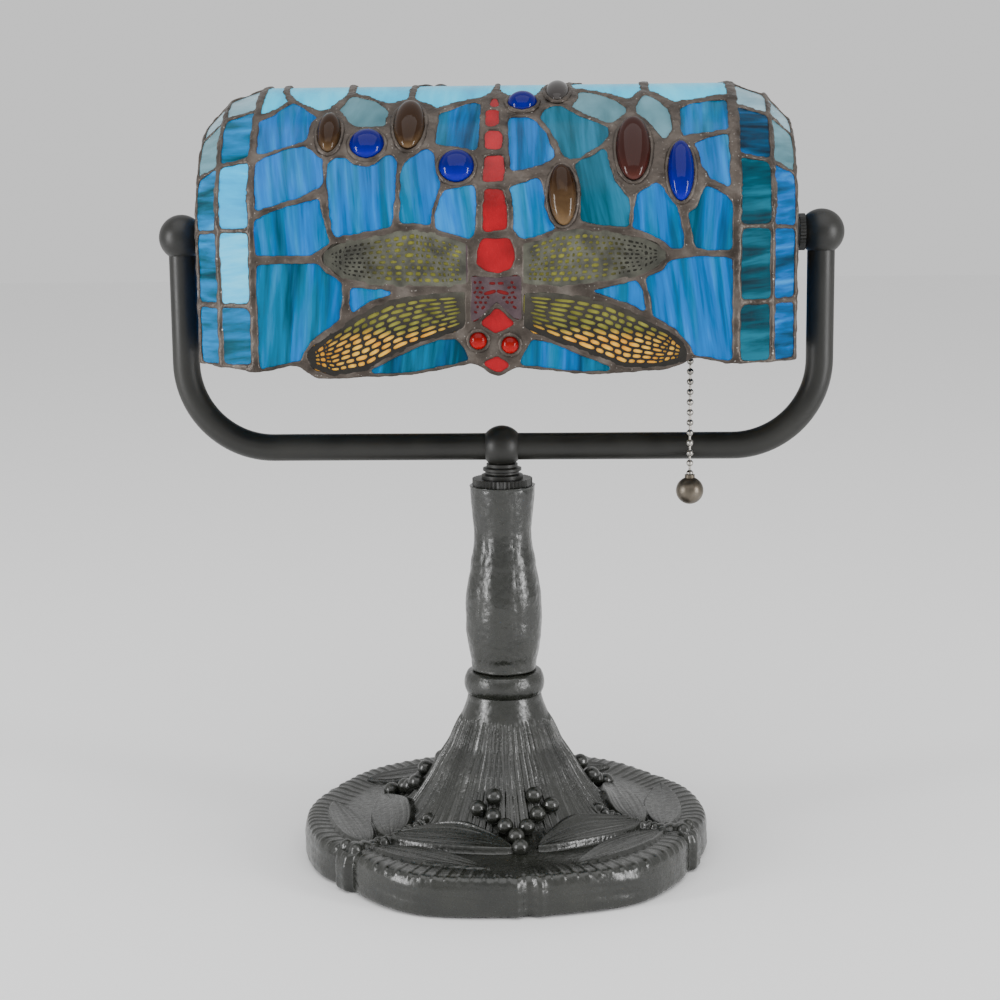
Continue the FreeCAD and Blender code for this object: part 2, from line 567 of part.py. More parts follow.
diagonal = math.sqrt(0.5)
lead_path = Part.Wire([
    Part.makeLine(Vector(0, 81.4, lead_low), Vector(0, corner_low, lead_low)),
    quarter_bend(Vector(0, corner_low, lead_low),
                 Vector(0, corner_low * (1 - diagonal), lead_low + corner_low * (1 - diagonal)),
                 Vector(0, 0, lead_low + corner_low)),
    Part.makeLine(Vector(0, 0, lead_low + corner_low), Vector(0, 0, bar - 5)),
    quarter_bend(Vector(0, 0, bar - 5),
                 Vector(5 * (1 - diagonal), 0, bar - 5 * (1 - diagonal)),
                 Vector(5, 0, bar)),
    Part.makeLine(Vector(5, 0, bar), Vector(spread - bend, 0, bar)),
    quarter_bend(Vector(spread - bend, 0, bar),
                 Vector(spread - bend * (1 - diagonal), 0, bar + bend * (1 - diagonal)),
                 Vector(spread, 0, bar + bend)),
    Part.makeLine(Vector(spread, 0, bar + bend), Vector(spread, 0, pivot - 4)),
    quarter_bend(Vector(spread, 0, pivot - 4),
                 Vector(spread - 4 * (1 - diagonal), 0, pivot - 4 * (1 - diagonal)),
                 Vector(spread - 4, 0, pivot)),
    Part.makeLine(Vector(spread - 4, 0, pivot), Vector(value("holder_end") + 1, 0, pivot)),
])
lead_end = Part.makeCircle(value("lead_radius"), Vector(0, 81.4, lead_low), Vector(0, 1, 0))
plain("supply_lead", "Supply lead inside the tubes",
      lead_path.makePipeShell([Part.Wire([lead_end])], True, True))

# ------------------------------------------------------------------ shade: shape of the vault
# A point on the shade is (x, s): s is the height on the front skirt when negative, then
# the arc length over the vault, then the back skirt.  turned_round() gives the same spot
# seen from behind, because the back repeats the front.
PIVOT = value("pivot_height")
QUARTER = value("vault_radius") * math.pi / 2
PROFILE = (
    (value("vault_half"), value("vault_radius")), (value("ring_half"), value("ring_radius")),
    (value("cap_half"), value("cap_radius")), (value("cap_half"), 0.0),
)
LOWER_EDGE = (
    (-125, -50.5), (-112, -51.2), (-99, -53), (-92, -52), (-84, -50), (-81.2, -50.3), (-78, -53),
    (-73, -55.5), (-67, -56), (-55, -55.2), (-40, -54.8), (-30, -53.8), (-20, -51.8), (-10, -50),
    (-7, -50.3), (-4, -52.5), (-1, -54.4), (2, -55), (4, -54.2), (6, -52.8), (9, -51.6),
    (20, -52.6), (30, -53.8), (40, -54.4), (47, -54.5), (53, -53.6), (68, -53.1), (73, -52.3),
    (77, -50.6), (79.8, -48.7), (83, -48.1), (88, -48.9), (94, -50.4), (99, -50.6), (125, -50.5),
)


def turned_round(spots):
    """The same outline on the other side of the shade."""
    return [(-x, 2 * QUARTER - s) for x, s in spots]


def vault_radius(x):
    """Outer radius of the shade at this distance along the pivot axis."""
    reach = abs(x)
    if reach <= PROFILE[0][0]:
        return PROFILE[0][1]
    for (x0, r0), (x1, r1) in zip(PROFILE[:2], PROFILE[1:3]):
        if reach <= x1:
            return r0 + (r1 - r0) * (reach - x0) / (x1 - x0)
    return PROFILE[2][1]


def on_shade(x, s):
    """Point in space for (x, s)."""
    radius = vault_radius(x)
    if s < 0:
        return Vector(x, -radius, PIVOT + s)
    if s > 2 * QUARTER:
        return Vector(x, radius, PIVOT - (s - 2 * QUARTER))
    angle = s / value("vault_radius")
    return Vector(x, -radius * math.cos(angle), PIVOT + radius * math.sin(angle))


def inset(profile, depth):
    """Half outline of the shade moved inwards by this much."""
    corners = [(0.0, profile[0][1])] + list(profile)
    lines = []
    for (x0, r0), (x1, r1) in zip(corners, corners[1:]):
        length = math.hypot(x1 - x0, r1 - r0)
        nx, nr = (r1 - r0) / length, -(x1 - x0) / length
        lines.append((nx, nr, nx * x0 + nr * r0 + depth))
    moved = []
    for (a0, b0, c0), (a1, b1, c1) in zip(lines, lines[1:]):
        scale = a0 * b1 - a1 * b0
        moved.append(((c0 * b1 - c1 * b0) / scale, (a0 * c1 - a1 * c0) / scale))
    return moved + [(moved[-1][0], 0.0)]


def arched_solid(depth):
    """Solid vault with its skirt, moved inwards by depth on every side but below."""
    half = inset(PROFILE, depth) if depth > 0 else list(PROFILE)
    rounded = half[:-1]
    front = [Vector(x, -r, 0) for x, r in half]
    front += [Vector(-x, -r, 0) for x, r in reversed(half)]
    vault = Part.Face(Part.makePolygon(front + front[:1]))
    vault = vault.revolve(Vector(0, 0, 0), Vector(-1, 0, 0), 180)
    plan = [Vector(x, -r, 0) for x, r in rounded]
    plan += [Vector(x, r, 0) for x, r in reversed(rounded)]
    plan += [Vector(-x, r, 0) for x, r in rounded]
    plan += [Vector(-x, -r, 0) for x, r in reversed(rounded)]
    skirt = Part.Face(Part.makePolygon(plan + plan[:1]))
    skirt = skirt.extrude(Vector(0, 0, -value("skirt_depth") - 8))
    solid = vault.fuse(skirt).removeSplitter()
    solid.translate(Vector(0, 0, PIVOT))
    return solid


def below_edge():
    """Block under the wavy lower edge, front and back."""
    blocks = []
    for side in (-1, 1):
        edge = [Vector(-side * x, 0, PIVOT + h) for x, h in LOWER_EDGE]
        first, last = edge[0], edge[-1]
        first_out = Vector(1.2 * first.x, 0, first.z)
        last_out = Vector(1.2 * last.x, 0, last.z)
        drop = Vector(0, 0, -40)
        ring = [first_out] + edge + [last_out, last_out + drop, first_out + drop]
        face = Part.Face(Part.makePolygon(ring + ring[:1]))
        blocks.append(face.extrude(Vector(0, side * 90, 0)))
    return blocks


def prism(spots, outward=9.0, inward=9.0):
    """Straight cutter through the shell for an outline given as (x, s)."""
    points = [on_shade(x, s) for x, s in spots]
    middle = Vector(0, 0, 0)
    for point in points:
        middle += point
    middle = middle * (1.0 / len(points))
    normal = Vector(0, 0, 0)
    for here, after in zip(points, points[1:] + points[:1]):
        normal += (here - middle).cross(after - middle)
    away = Vector(0, middle.y, middle.z - PIVOT)
    if abs(middle.x) > value("vault_half"):
        away.x = middle.x
    else:
        normal.x = 0
    normal.normalize()
    if normal.dot(away) < 0:
        normal = -normal
    flat = [point - normal * (point - middle).dot(normal) for point in points]
    face = Part.Face(Part.makePolygon(flat + flat[:1]))
    face.translate(normal * -inward)
    return face.extrude(normal * (inward + outward))


def local_axes(x, s, tilt):
    """Placement with X along the pivot axis and Z straight out of the shade."""
    angle = min(max(s, 0.0), 2 * QUARTER) / value("vault_radius")
    frame = Placement(on_shade(x, s), Rotation(Vector(1, 0, 0), 90 - math.degrees(angle)))
    return frame.multiply(Placement(Vector(0, 0, 0), Rotation(Vector(0, 0, 1), tilt)))


def jewel_cutter(x, s, wide, tall, tilt):
    """Elliptical hole for a jewel."""
    if wide > tall:
        ring = Part.Ellipse(Vector(0, 0, -9), wide, tall).toShape()
    elif wide < tall:
        ring = Part.Ellipse(Vector(0, tall, -9), Vector(wide, 0, -9), Vector(0, 0, -9)).toShape()
    else:
        ring = Part.makeCircle(wide, Vector(0, 0, -9))
    hole = Part.Face(Part.Wire([ring])).extrude(Vector(0, 0, 18))
    hole.Placement = local_axes(x, s, tilt)
    return hole


def jewel(x, s, wide, tall, tilt):
    """Domed glass jewel with a flat back."""
    rise = value("jewel_rise") if wide > 4.95 else value("jewel_rise") - 1.4
    dome = Part.makeSphere(1.0)
    stretch = Matrix()
    stretch.scale(wide - 0.04, tall - 0.04, rise)
    dome = dome.transformGeometry(stretch)
    slab = Part.makeBox(80, 80, 20, Vector(-40, -40, -value("jewel_back")))
    dome = dome.common(slab)
    dome.Placement = local_axes(x, s, tilt)
    return dome


# ------------------------------------------------------------------ shade: outlines of the glass
BLUE = (
    ((-97, -8.5), (-71.7, -8.5), (-69.2, -11.5), (-62, -16.5), (-63.4, -31), (-69.2, -35.3),
     (-75.7, -40.3), (-78.9, -45), (-80.2, -48.6), (-84, -48.5), (-91, -50.3), (-97, -51.5)),
    ((-97.3, -4.8), (-97.3, 9.5), (-90, 13), (-80, 15.8), (-71.2, 18.3), (-70.3, 13),
     (-68.5, 5), (-66.8, 0), (-71, -2.8), (-74, -4.6)),
    ((-97.3, 13), (-89, 16.5), (-80, 18.5), (-71.5, 23), (-69.8, 25), (-70, 35.5),
     (-72.5, 37), (-76, 40.5), (-77.5, 42.3), (-86, 40.5), (-97.3, 34.5)),
    ((-97.3, 38.5), (-90, 40.3), (-82, 43.5), (-76.8, 45.5), (-76.8, 52), (-75.5, 57),
     (-73.5, 58.5), (-77, 62), (-81, 66.7), (-84.8, 70.5), (-87.7, 67), (-91, 61.5), (-97.3, 56.5)),
    ((-23, 60.5), (-17, 64), (-12, 67.6), (-8, 69), (-6.3, 67), (-6, 60), (-6.5, 54), (-6, 47),
     (-6.6, 40), (-9, 39.8), (-13, 41.2), (-19, 41.6), (-24, 43), (-23.3, 48), (-22.8, 55)),
    ((-37.5, 30), (-36, 34), (-32, 37), (-28.5, 40), (-26.5, 40.3), (-24.6, 38), (-24, 33),
     (-22.9, 27.5), (-21.8, 24), (-23.4, 19), (-25.2, 12), (-25.4, 6.8), (-31, 8.2), (-38, 8),
     (-37.8, 18)),
    ((-67.5, 34), (-64, 36.6), (-61, 36), (-57, 33), (-52, 31.5), (-48.5, 33), (-44, 37),
     (-41.5, 37.3), (-39.6, 34), (-39.8, 26), (-40.3, 18), (-41.2, 10), (-41.4, 7), (-50, 5.2),
     (-60, 3.3), (-64.5, 2.6), (-66, 8), (-67.2, 18), (-67.8, 26)),
    ((-23, 5.5), (-20, 4.4), (-14, 2.4), (-9.5, 1.4), (-8, 3.2), (-7.4, 8), (-7.4, 18),
     (-7.4, 23), (-9, 23.3), (-12.5, 22.3), (-17, 22), (-19.6, 21.2), (-22, 17), (-23.5, 11)),
    ((-58.3, -18.2), (-48, -19.2), (-38, -20), (-44, -21.4), (-49.5, -23), (-54.5, -25.8),
     (-58.8, -28.6), (-59.3, -24)),
    ((-52.3, -53.2), (-49, -51.3), (-40, -46.9), (-30, -42.3), (-22, -39.9), (-16, -39.4),
     (-14, -41), (-10.6, -48.3), (-14, -48.9), (-22, -50.6), (-32, -52.6), (-42, -53.4)),
    ((6, 57.2), (14, 57.3), (17, 55), (21, 48), (24, 40), (24.6, 35.5), (20, 32.4), (12, 30.2),
     (7.2, 30), (6.5, 40), (6.2, 50)),
    ((6.6, 22), (10, 23.5), (18.8, 26.2), (19.8, 23), (20.6, 15), (22.5, 9.5), (25.4, 5),
     (22, 4), (17, 2), (13.5, 1.5), (10.5, 1.9), (8.2, 5), (8.3, 12), (8.2, 18)),
    ((58.5, 19.2), (66, 23.4), (68.6, 21.6), (71, 17.3), (74.3, 13.6), (75.6, 9), (77.2, 1),
     (77.2, -3), (72, -3.4), (69, -0.4), (63, 3), (56.8, 5), (57.4, 12)),
    ((79, 10.6), (82.4, 13), (84.4, 17.5), (86, 21.8), (91, 20), (94.5, 17.5), (96.6, 14.6),
     (96.6, -4), (88, -4), (82, -3), (80.8, 3)),
    ((81.8, 41.6), (85, 43.3), (92, 45.5), (96, 46), (96, 21.4), (93, 23), (88, 25.8),
     (85.2, 30.5), (83.4, 37)),
    ((77.5, 45.9), (88, 47.7), (96, 49.5), (96, 68.7), (90, 68.2), (82, 66), (78, 63.5),
     (76.5, 62), (77, 56), (76.8, 50)),
    ((61.7, -15.2), (68, -12.4), (72, -8.3), (82, -6.8), (96.8, -7.6), (96.8, -48.9),
     (92, -48.7), (86, -47.2), (81.6, -46.6), (80.6, -44), (78.3, -40.2), (74, -36.2),
     (68, -32.7), (64.6, -30.6), (64, -24)),
    ((38, -20.2), (46, -18.9), (58.3, -16.3), (60.4, -21), (61.8, -28), (60.4, -28.7),
     (56, -26.2), (50, -23.7), (44, -21.9)),
    ((15.6, -39.9), (22, -41.4), (30, -44.4), (40, -48.4), (47, -51.4), (49.5, -53),
     (42, -53.1), (34, -52.9), (24, -51.7), (12, -50.4), (10.4, -49.8), (13, -44.5)),
)
TEAL = (
    ((19, 57.5), (20.6, 62.3), (23.5, 65), (28, 64.8), (31, 61.6), (36, 57), (42, 53.5),
     (46.6, 50.8), (46.9, 46), (44, 42), (39, 38.5), (35.5, 35.8), (31, 34.6), (28.3, 36.3),
     (26.5, 42), (23.5, 49.5)),
    ((33.2, 32), (37, 34.3), (41, 36.5), (45.2, 39.6), (46.2, 36), (47.2, 30), (49.2, 25),
     (52, 20.8), (54.9, 17.5), (55.2, 10), (54.8, 5.6), (47, 6.3), (40, 7.2), (35.2, 8.2),
     (35.8, 14), (35.6, 22), (34.4, 27)),
)
GRAY = (
    ((-60.3, 76.6), (-55, 74), (-50, 70.6), (-46, 65.6), (-44.1, 62), (-45.2, 57.6),
     (-45.6, 53.2), (-52, 53.2), (-57.6, 53.4), (-60, 56.4), (-62.6, 61), (-64.6, 63.8),
     (-62.5, 70)),
    ((34.8, 79), (40.8, 76.6), (45.8, 73.4), (49.8, 69.4), (54.2, 63.3), (54, 59.5),
     (50.2, 55.9), (48, 53.4), (43.2, 55.8), (37.4, 59.6), (32, 64.3), (34, 69), (35, 74)),
    ((58.6, 61.7), (59.5, 67), (61, 72.3), (62.6, 75), (65, 72.2), (68.2, 67.4), (71.2, 62.3),
     (72.6, 58), (72.6, 48.6), (71, 45.6), (69.4, 43.8), (67.8, 46.4), (65.4, 51.4),
     (62.2, 56), (59.2, 58.4)),
)
RIDGE_HALF = (
    ((-60.3, 101), (-59.6, 88), (-59.3, 80.5), (-54, 76.6), (-50, 74), (-46, 70.2), (-43, 69.6),
     (-40, 71.4), (-36.8, 74.4), (-36.6, 98), (-31.5, 110), (-33.3, 118.7), (-39, 121.7),
     (-44, 124.2), (-49, 127.7), (-54, 131.2), (-56.3, 131.4), (-59, 126.2), (-60.8, 121.2)),
    ((-33.5, 74.4), (-30, 70.2), (-24, 65.7), (-19, 68.6), (-14, 71.4), (-7, 74), (-3.2, 78.4),
     (-1.6, 84), (-1.2, 101), (-1.8, 119), (-3.5, 124.7), (-6, 127.2), (-12, 126.9),
     (-16.5, 128), (-18, 123.2), (-19.8, 116.2), (-23, 109.5), (-28, 106.5), (-33, 97)),
)
RIDGE_OWN = (
    ((-97.3, 61.5), (-93.5, 64), (-89.3, 68.5), (-87.2, 72), (-89.3, 78), (-91.3, 86),
     (-91.8, 101), (-92, 129), (-97.3, 129.5)),
    ((-83.5, 73.4), (-86, 79), (-88, 87), (-88.6, 101), (-88.6, 130.5), (-80, 133.7),
     (-75.5, 135.2), (-73, 134), (-70, 129.7), (-65.5, 125), (-64.5, 121), (-63.8, 101),
     (-63.3, 86), (-63.6, 77.4), (-66, 72.4), (-67.6, 68), (-69.3, 65.4), (-72, 64.8),
     (-75, 65.6), (-79, 69)),
    ((64.5, 101), (64.5, 82), (65.5, 78.4), (70, 74), (73, 69.4), (75.5, 68.2), (80, 69.7),
     (87, 71.9), (92, 73.4), (96.5, 74), (96.5, 104), (91, 115), (87, 124), (84, 130),
     (79, 134.5), (75, 138), (72, 138.8), (69.3, 138.4), (67.5, 135.7), (66, 131.2),
     (63.4, 126.2), (63.7, 117)),
    ((97, 141.5), (93.5, 139), (89.3, 134.5), (87.2, 131), (89.5, 125), (93, 117), (97, 109.5)),
)
WINGS = (
    ((-70.5, -5.5), (-66, -1), (-58, 0.3), (-49, 2), (-40, 3.5), (-32, 4.8), (-25, 3.3),
     (-17, 1), (-11, -1.5), (-11, -16.6), (-20, -17.6), (-33, -17.3), (-50, -16), (-59, -14.5),
     (-64, -12.5), (-69, -8.5)),
    ((-77.3, -46), (-74.5, -42), (-68, -38.3), (-62, -34.5), (-54, -29.5), (-49, -26.5),
     (-39, -23.5), (-30, -22), (-20, -21), (-12, -21), (-12, -33.5), (-16, -36.5), (-24, -38.2),
     (-31, -40.3), (-41, -44.8), (-49, -49), (-54, -51.5), (-60, -53), (-68, -53.5),
     (-74.5, -51.5)),
    ((70.3, -5.7), (66.5, -1.5), (62, 0.3), (56, 1.5), (49, 2.8), (39, 3.8), (33, 4.5),
     (26, 3), (19, 0), (12.5, -1.7), (12.5, -16.6), (22, -17.6), (34, -17.3), (45, -16),
     (55, -14.2), (61.5, -13), (66.5, -10.5)),
    ((78.6, -45.5), (76.5, -41.5), (72.5, -38), (66.5, -34.8), (60.5, -31.8), (55, -28.5),
     (49.5, -26.5), (42, -24.5), (33, -22.8), (22, -21), (12.5, -21), (12.5, -34), (16, -37),
     (23, -39), (31, -42), (41, -46), (48, -49), (54, -51.3), (62, -51.3), (70, -51),
     (76, -49)),
)
THORAX = (
    ((-9, -14), (-4, -14.6), (1, -15.2), (6, -14.6), (10.6, -13.6), (10.8, -32.6), (8.6, -31.2),
     (1, -24.3), (-6.6, -31.2), (-9, -33)),
)
BODY = (
    ((-1.7, 65.8), (1.5, 65.8), (0.8, 71), (-0.4, 77), (-1.5, 71)),
    ((-3.3, 62.8), (1.8, 62.8), (2, 54), (0.4, 52.4), (-3, 52.3)),
    ((-3.2, 49.5), (2.8, 49.5), (3.5, 44), (3, 40), (-3.4, 40)),
    ((-3.5, 36.5), (3.8, 36.5), (4.6, 29), (4, 24.8), (-4, 24.8)),
    ((-3.3, 21.5), (3.8, 21.5), (5.5, 14), (5.6, 5), (-4.1, 4.2), (-4, 14)),
    ((-4.4, 1.2), (6.3, 1.2), (8.3, -3), (8.6, -7.5), (6, -11.3), (1.2, -12.6), (-3.5, -11.9),
     (-6.7, -9), (-6.4, -4)),
    ((1, -26.6), (8.4, -33.2), (0.8, -37.4), (-5.8, -33.4)),
    ((1, -46.6), (6.2, -50.2), (4, -52.2), (1.2, -53.2), (-1.5, -52), (-5, -49.4)),
)
# jewels: (x, s, half width, half height, tilt in degrees)
COBALT = (
    (-52, 42.5, 7.2, 7.2, 0), (-15, 31.5, 7.3, 7.3, 0), (11.4, 67.3, 6.2, 6.2, 0),
    (76.2, 28.6, 5.4, 13.2, 0),
)
AMBER = (
    (-67.9, 48.8, 5.0, 10.6, 0), (-35, 53, 6.5, 14.0, 0), (28.2, 18.8, 5.8, 12.8, 3),
)
GARNET = ((57, 39.2, 7.1, 15.4, 0),)
SMOKE = ((25.8, 78.6, 4.9, 10.4, 0),)
EYES = ((-6.6, -40.2, 3.7, 3.7, 0), (6.4, -42, 3.7, 3.7, 0))


def both_sides(outlines):
    """Front outlines followed by the back ones."""
    return list(outlines) + [turned_round(outline) for outline in outlines]


def both_jewels(jewels):
    """Front jewels followed by the back ones."""
    return list(jewels) + [(-x, 2 * QUARTER - s, wide, tall, tilt)
                           for x, s, wide, tall, tilt in jewels]


def ring_outlines(side):
    """Rows of panes in the two end rings of one end."""
    rows = [(-49.4, -26.8), (-24.2, 4.2), (6.8, 34.7), (37.3, 63.7), (66.3, 88.7)]
    rows += [(91.3, 2 * QUARTER - 91.3)]
    rows += [(2 * QUARTER - upper, 2 * QUARTER - lower) for lower, upper in rows[:5]]
    outlines = []
    for near, far in ((100.9, 112.7), (115.2, 123.6)):
        for lower, upper in rows:
            outlines.append([(side * near, lower), (side * far, lower),
                             (side * far, upper), (side * near, upper)])
    return outlines


def cap_prisms(side):
    """Openings of one flat end, round the pivot hub."""
    hub = 17.0
    outer = value("cap_radius") - 4.2
    shapes = []
    rings = []
    for start, stop in ((2, 58), (62, 118), (122, 178)):
        angles = [math.radians(start + (stop - start) * step / 8) for step in range(9)]
        ring = [(outer * math.cos(angle), outer * math.sin(angle)) for angle in angles]
        ring += [(hub * math.cos(angle), hub * math.sin(angle)) for angle in reversed(angles)]
        rings.append(ring)
    for mirror in (-1, 1):
        angles = [math.radians(step) for step in (-6, -28, -50, -72, -84)]
        ring = [(mirror * hub * math.cos(angle), hub * math.sin(angle)) for angle in angles]
        ring += [(mirror * 1.8, -47.2), (mirror * outer, -47.2), (mirror * outer, -1.8)]
        rings.append(ring)
    for ring in rings:
        corners = [Vector(side * (value("cap_half") - 12), y, PIVOT + h) for y, h in ring]
        face = Part.Face(Part.makePolygon(corners + corners[:1]))
        shapes.append(face.extrude(Vector(side * 24, 0, 0)))
    return shapes


# ------------------------------------------------------------------ shade: glass and came
depth = value("came_depth")
set_in = value("glass_set")
shell = arched_solid(0.0).cut(arched_solid(depth)).cut(below_edge())
glass_shell = arched_solid(set_in).cut(arched_solid(set_in + value("glass_depth")))
plate_shell = arched_solid(0.0).cut(arched_solid(value("filigree_thickness")))
cutters = []


def panes(node, label, prisms):
    """Cut one group of glass panes from the thin shell and note their openings."""
    pieces = []
    for cutter in prisms:
        piece = glass_shell.common(cutter)
        near = [solid for solid in piece.Solids if solid.Volume > 4.0]
        outer = max(near, key=lambda solid: solid.Volume)
        pieces.append(outer)
        cutters.append(cutter)
    plain(node, label, Part.makeCompound(pieces))


def prisms_of(outlines):
    """Cutters for a list of outlines."""
    return [prism(outline) for outline in outlines]


panes("panes_blue_front", "Blue panes, front", prisms_of(BLUE))
panes("panes_blue_back", "Blue panes, back", prisms_of([turned_round(one) for one in BLUE]))
panes("panes_teal", "Teal panes", prisms_of(both_sides(TEAL)))
panes("panes_gray", "Grey panes", prisms_of(both_sides(GRAY)))
panes("panes_sky", "Sky panes over the ridge", prisms_of(both_sides(RIDGE_HALF))
      + prisms_of(RIDGE_OWN))
panes("end_panes_left", "Left end ring panes", prisms_of(ring_outlines(-1)))
panes("end_panes_right", "Right end ring panes", prisms_of(ring_outlines(1)))
panes("cap_panes", "End wall panes", cap_prisms(-1) + cap_prisms(1))
panes("wing_glass", "Wing glass", prisms_of(both_sides(WINGS + THORAX)))
panes("dragonfly_segments", "Dragonfly body glass", prisms_of(both_sides(BODY)))


def jewels(node, label, spots):
    """Domed jewels and their holes."""
    cutters.extend(jewel_cutter(*spot) for spot in both_jewels(spots))
    plain(node, label, Part.makeCompound([jewel(*spot) for spot in both_jewels(spots)]))


jewels("jewels_cobalt", "Cobalt jewels", COBALT)
jewels("jewels_amber", "Amber jewels", AMBER)
jewels("jewels_garnet", "Garnet jewels", GARNET)
jewels("jewels_smoke", "Smoke jewels", SMOKE)
jewels("dragonfly_eyes", "Dragonfly eyes", EYES)

for side in (-1, 1):
    hub_start = Vector(side * (value("cap_half") - 12), 0, PIVOT)
    cutters.append(Part.makeCylinder(value("bush_radius"), 24, hub_start, Vector(side, 0, 0)))
plain("shade_came", "Lead came and rim", shell.cut(cutters))


# ------------------------------------------------------------------ shade: wing filigree
def inside(outline, x, h):
    """Whether a point lies within an outline."""
    hit = False
    for (x0, h0), (x1, h1) in zip(outline, list(outline[1:]) + [outline[0]]):
        if (h0 > h) != (h1 > h) and x < x0 + (h - h0) * (x1 - x0) / (h1 - h0):
            hit = not hit
    return hit


def slot_prism(x, h, lean, length, height):
    """Small six-cornered slot through a front wing plate."""
    ring = []
    for across, up in ((-0.5, 0), (-0.3, 0.5), (0.3, 0.5), (0.5, 0), (0.3, -0.5), (-0.3, -0.5)):
        dx = across * length * math.cos(lean) - up * height * math.sin(lean)
        dh = across * length * math.sin(lean) + up * height * math.cos(lean)
        ring.append(Vector(x + dx, -value("vault_radius") - 4, PIVOT + h + dh))
    return Part.Face(Part.makePolygon(ring + ring[:1])).extrude(Vector(0, 12, 0))


def filigree(outline, lean):
    """Pierced metal plate that lies in one front wing opening, over the glass."""
    plate = max(plate_shell.common(prism(outline)).Solids, key=lambda solid: solid.Volume)
    slots = []
    for row in range(-9, 10):
        for column in range(-12, 13):
            along = 6.6 * (column + 0.5 * (row % 2))
            up = 3.9 * row
            x = outline[0][0] * 0.55 + along * math.cos(lean) - up * math.sin(lean)
            h = -12 + along * math.sin(lean) + up * math.cos(lean)
            reach = [(x + dx, h + dh) for dx in (-3.4, 3.4) for dh in (-1.9, 1.9)]
            if all(inside(outline, *corner) for corner in reach):
                slots.append(slot_prism(x, h, lean, 4.6, 2.1))
    return plate.cut(slots)


leans = (0.0, math.radians(22), 0.0, math.radians(-22), 0.0)
front_plates = [filigree(list(one), lean) for one, lean in zip(WINGS + THORAX, leans)]
back_plates = []
for plate in front_plates:
    copy = plate.copy()
    copy.rotate(Vector(0, 0, 0), Vector(0, 0, 1), 180)
    back_plates.append(copy)
plain("wing_filigree", "Wing filigree plates", Part.makeCompound(front_plates + back_plates))

# ------------------------------------------------------------------ check and export
doc.recompute()
for thing in doc.Objects:
    if "Invalid" in thing.State or "Error" in thing.State:
        raise RuntimeError(f"{thing.Name} did not recompute: {thing.State}")
os.makedirs("parts", exist_ok=True)
for node, thing in made:
    shape = thing.Shape
    if shape.isNull() or not shape.isValid() or not shape.Solids:
        raise RuntimeError(f"{node} is not a valid solid")
    shape.exportStep(f"parts/{node}.step")
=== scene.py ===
import bpy
import math
import random
import numpy as np
from mathutils import Matrix, Vector, noise


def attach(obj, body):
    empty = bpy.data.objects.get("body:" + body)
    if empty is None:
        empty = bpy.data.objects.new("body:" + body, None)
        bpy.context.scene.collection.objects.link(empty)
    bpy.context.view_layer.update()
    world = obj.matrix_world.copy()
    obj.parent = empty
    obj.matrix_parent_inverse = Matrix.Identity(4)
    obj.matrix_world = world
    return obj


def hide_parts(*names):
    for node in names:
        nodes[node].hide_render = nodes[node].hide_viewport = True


# Stained-glass table lamp.  Lengths are metres in the frame's axes: +Z up, front at -Y.
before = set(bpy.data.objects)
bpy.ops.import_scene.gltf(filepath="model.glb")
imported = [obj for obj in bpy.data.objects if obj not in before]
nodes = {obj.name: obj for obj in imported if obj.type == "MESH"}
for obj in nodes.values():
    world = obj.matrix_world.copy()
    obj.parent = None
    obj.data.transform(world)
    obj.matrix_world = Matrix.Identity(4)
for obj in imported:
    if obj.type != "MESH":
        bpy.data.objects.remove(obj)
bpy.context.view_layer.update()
MM = 0.001
PIVOT = 0.279              # height of the shade's axis
VAULT = 0.0647             # radius of the glass vault about that axis
INNER_RING = 99.5 * MM     # where the vault meets the inner end ring
OUTER_RING = 113.5 * MM    # where the inner end ring meets the outer one
FLAT_END = 123.6 * MM      # where the outer end ring meets the flat end
INNER_LEAN = math.radians(19)
OUTER_LEAN = math.radians(45)


# ---------------- camera, light and floor
def add_camera():
    """Camera in front of the lamp, slightly above it and a little to its right."""
    data = bpy.data.cameras.new("camera")
    data.sensor_width = 36.0
    data.lens = 74.5
    data.clip_end = 50.0
    camera = bpy.data.objects.new("camera", data)
    bpy.context.scene.collection.objects.link(camera)
    camera.location = (0.0365, -0.9093, 0.3186)
    heading = Matrix.Rotation(math.radians(2.37), 4, "Z")
    pitch = Matrix.Rotation(math.radians(90 - 9.8), 4, "X")
    roll = Matrix.Rotation(math.radians(-0.65), 4, "Z")
    camera.rotation_euler = (heading @ pitch @ roll).to_euler()
    bpy.context.scene.camera = camera


LAMP_MIDDLE = (0, 0, 0.22)
# Studio lights: name, azimuth with 0 in front, height, distance, width, length, watts.
SOFTBOXES = (("left_softbox", -61, 0.36, 1.25, 0.22, 0.66, 9.5),
             ("right_softbox", 59, 0.34, 1.25, 0.22, 0.66, 9.5),
             ("top_softbox", 0, 2.0, 0.8, 2.6, 2.2, 26))


def add_softbox(name, azimuth, height, distance, wide, tall, watts):
    """Rectangular studio light turned towards the lamp."""
    data = bpy.data.lights.new(name, "AREA")
    data.shape = "RECTANGLE"
    data.size = wide
    data.size_y = tall
    data.energy = watts
    light = bpy.data.objects.new(name, data)
    bpy.context.scene.collection.objects.link(light)
    turn = math.radians(azimuth)
    light.location = (distance * math.sin(turn), -distance * math.cos(turn), height)
    away = light.location - Vector(LAMP_MIDDLE)
    light.rotation_euler = away.to_track_quat("Z", "Y").to_euler()


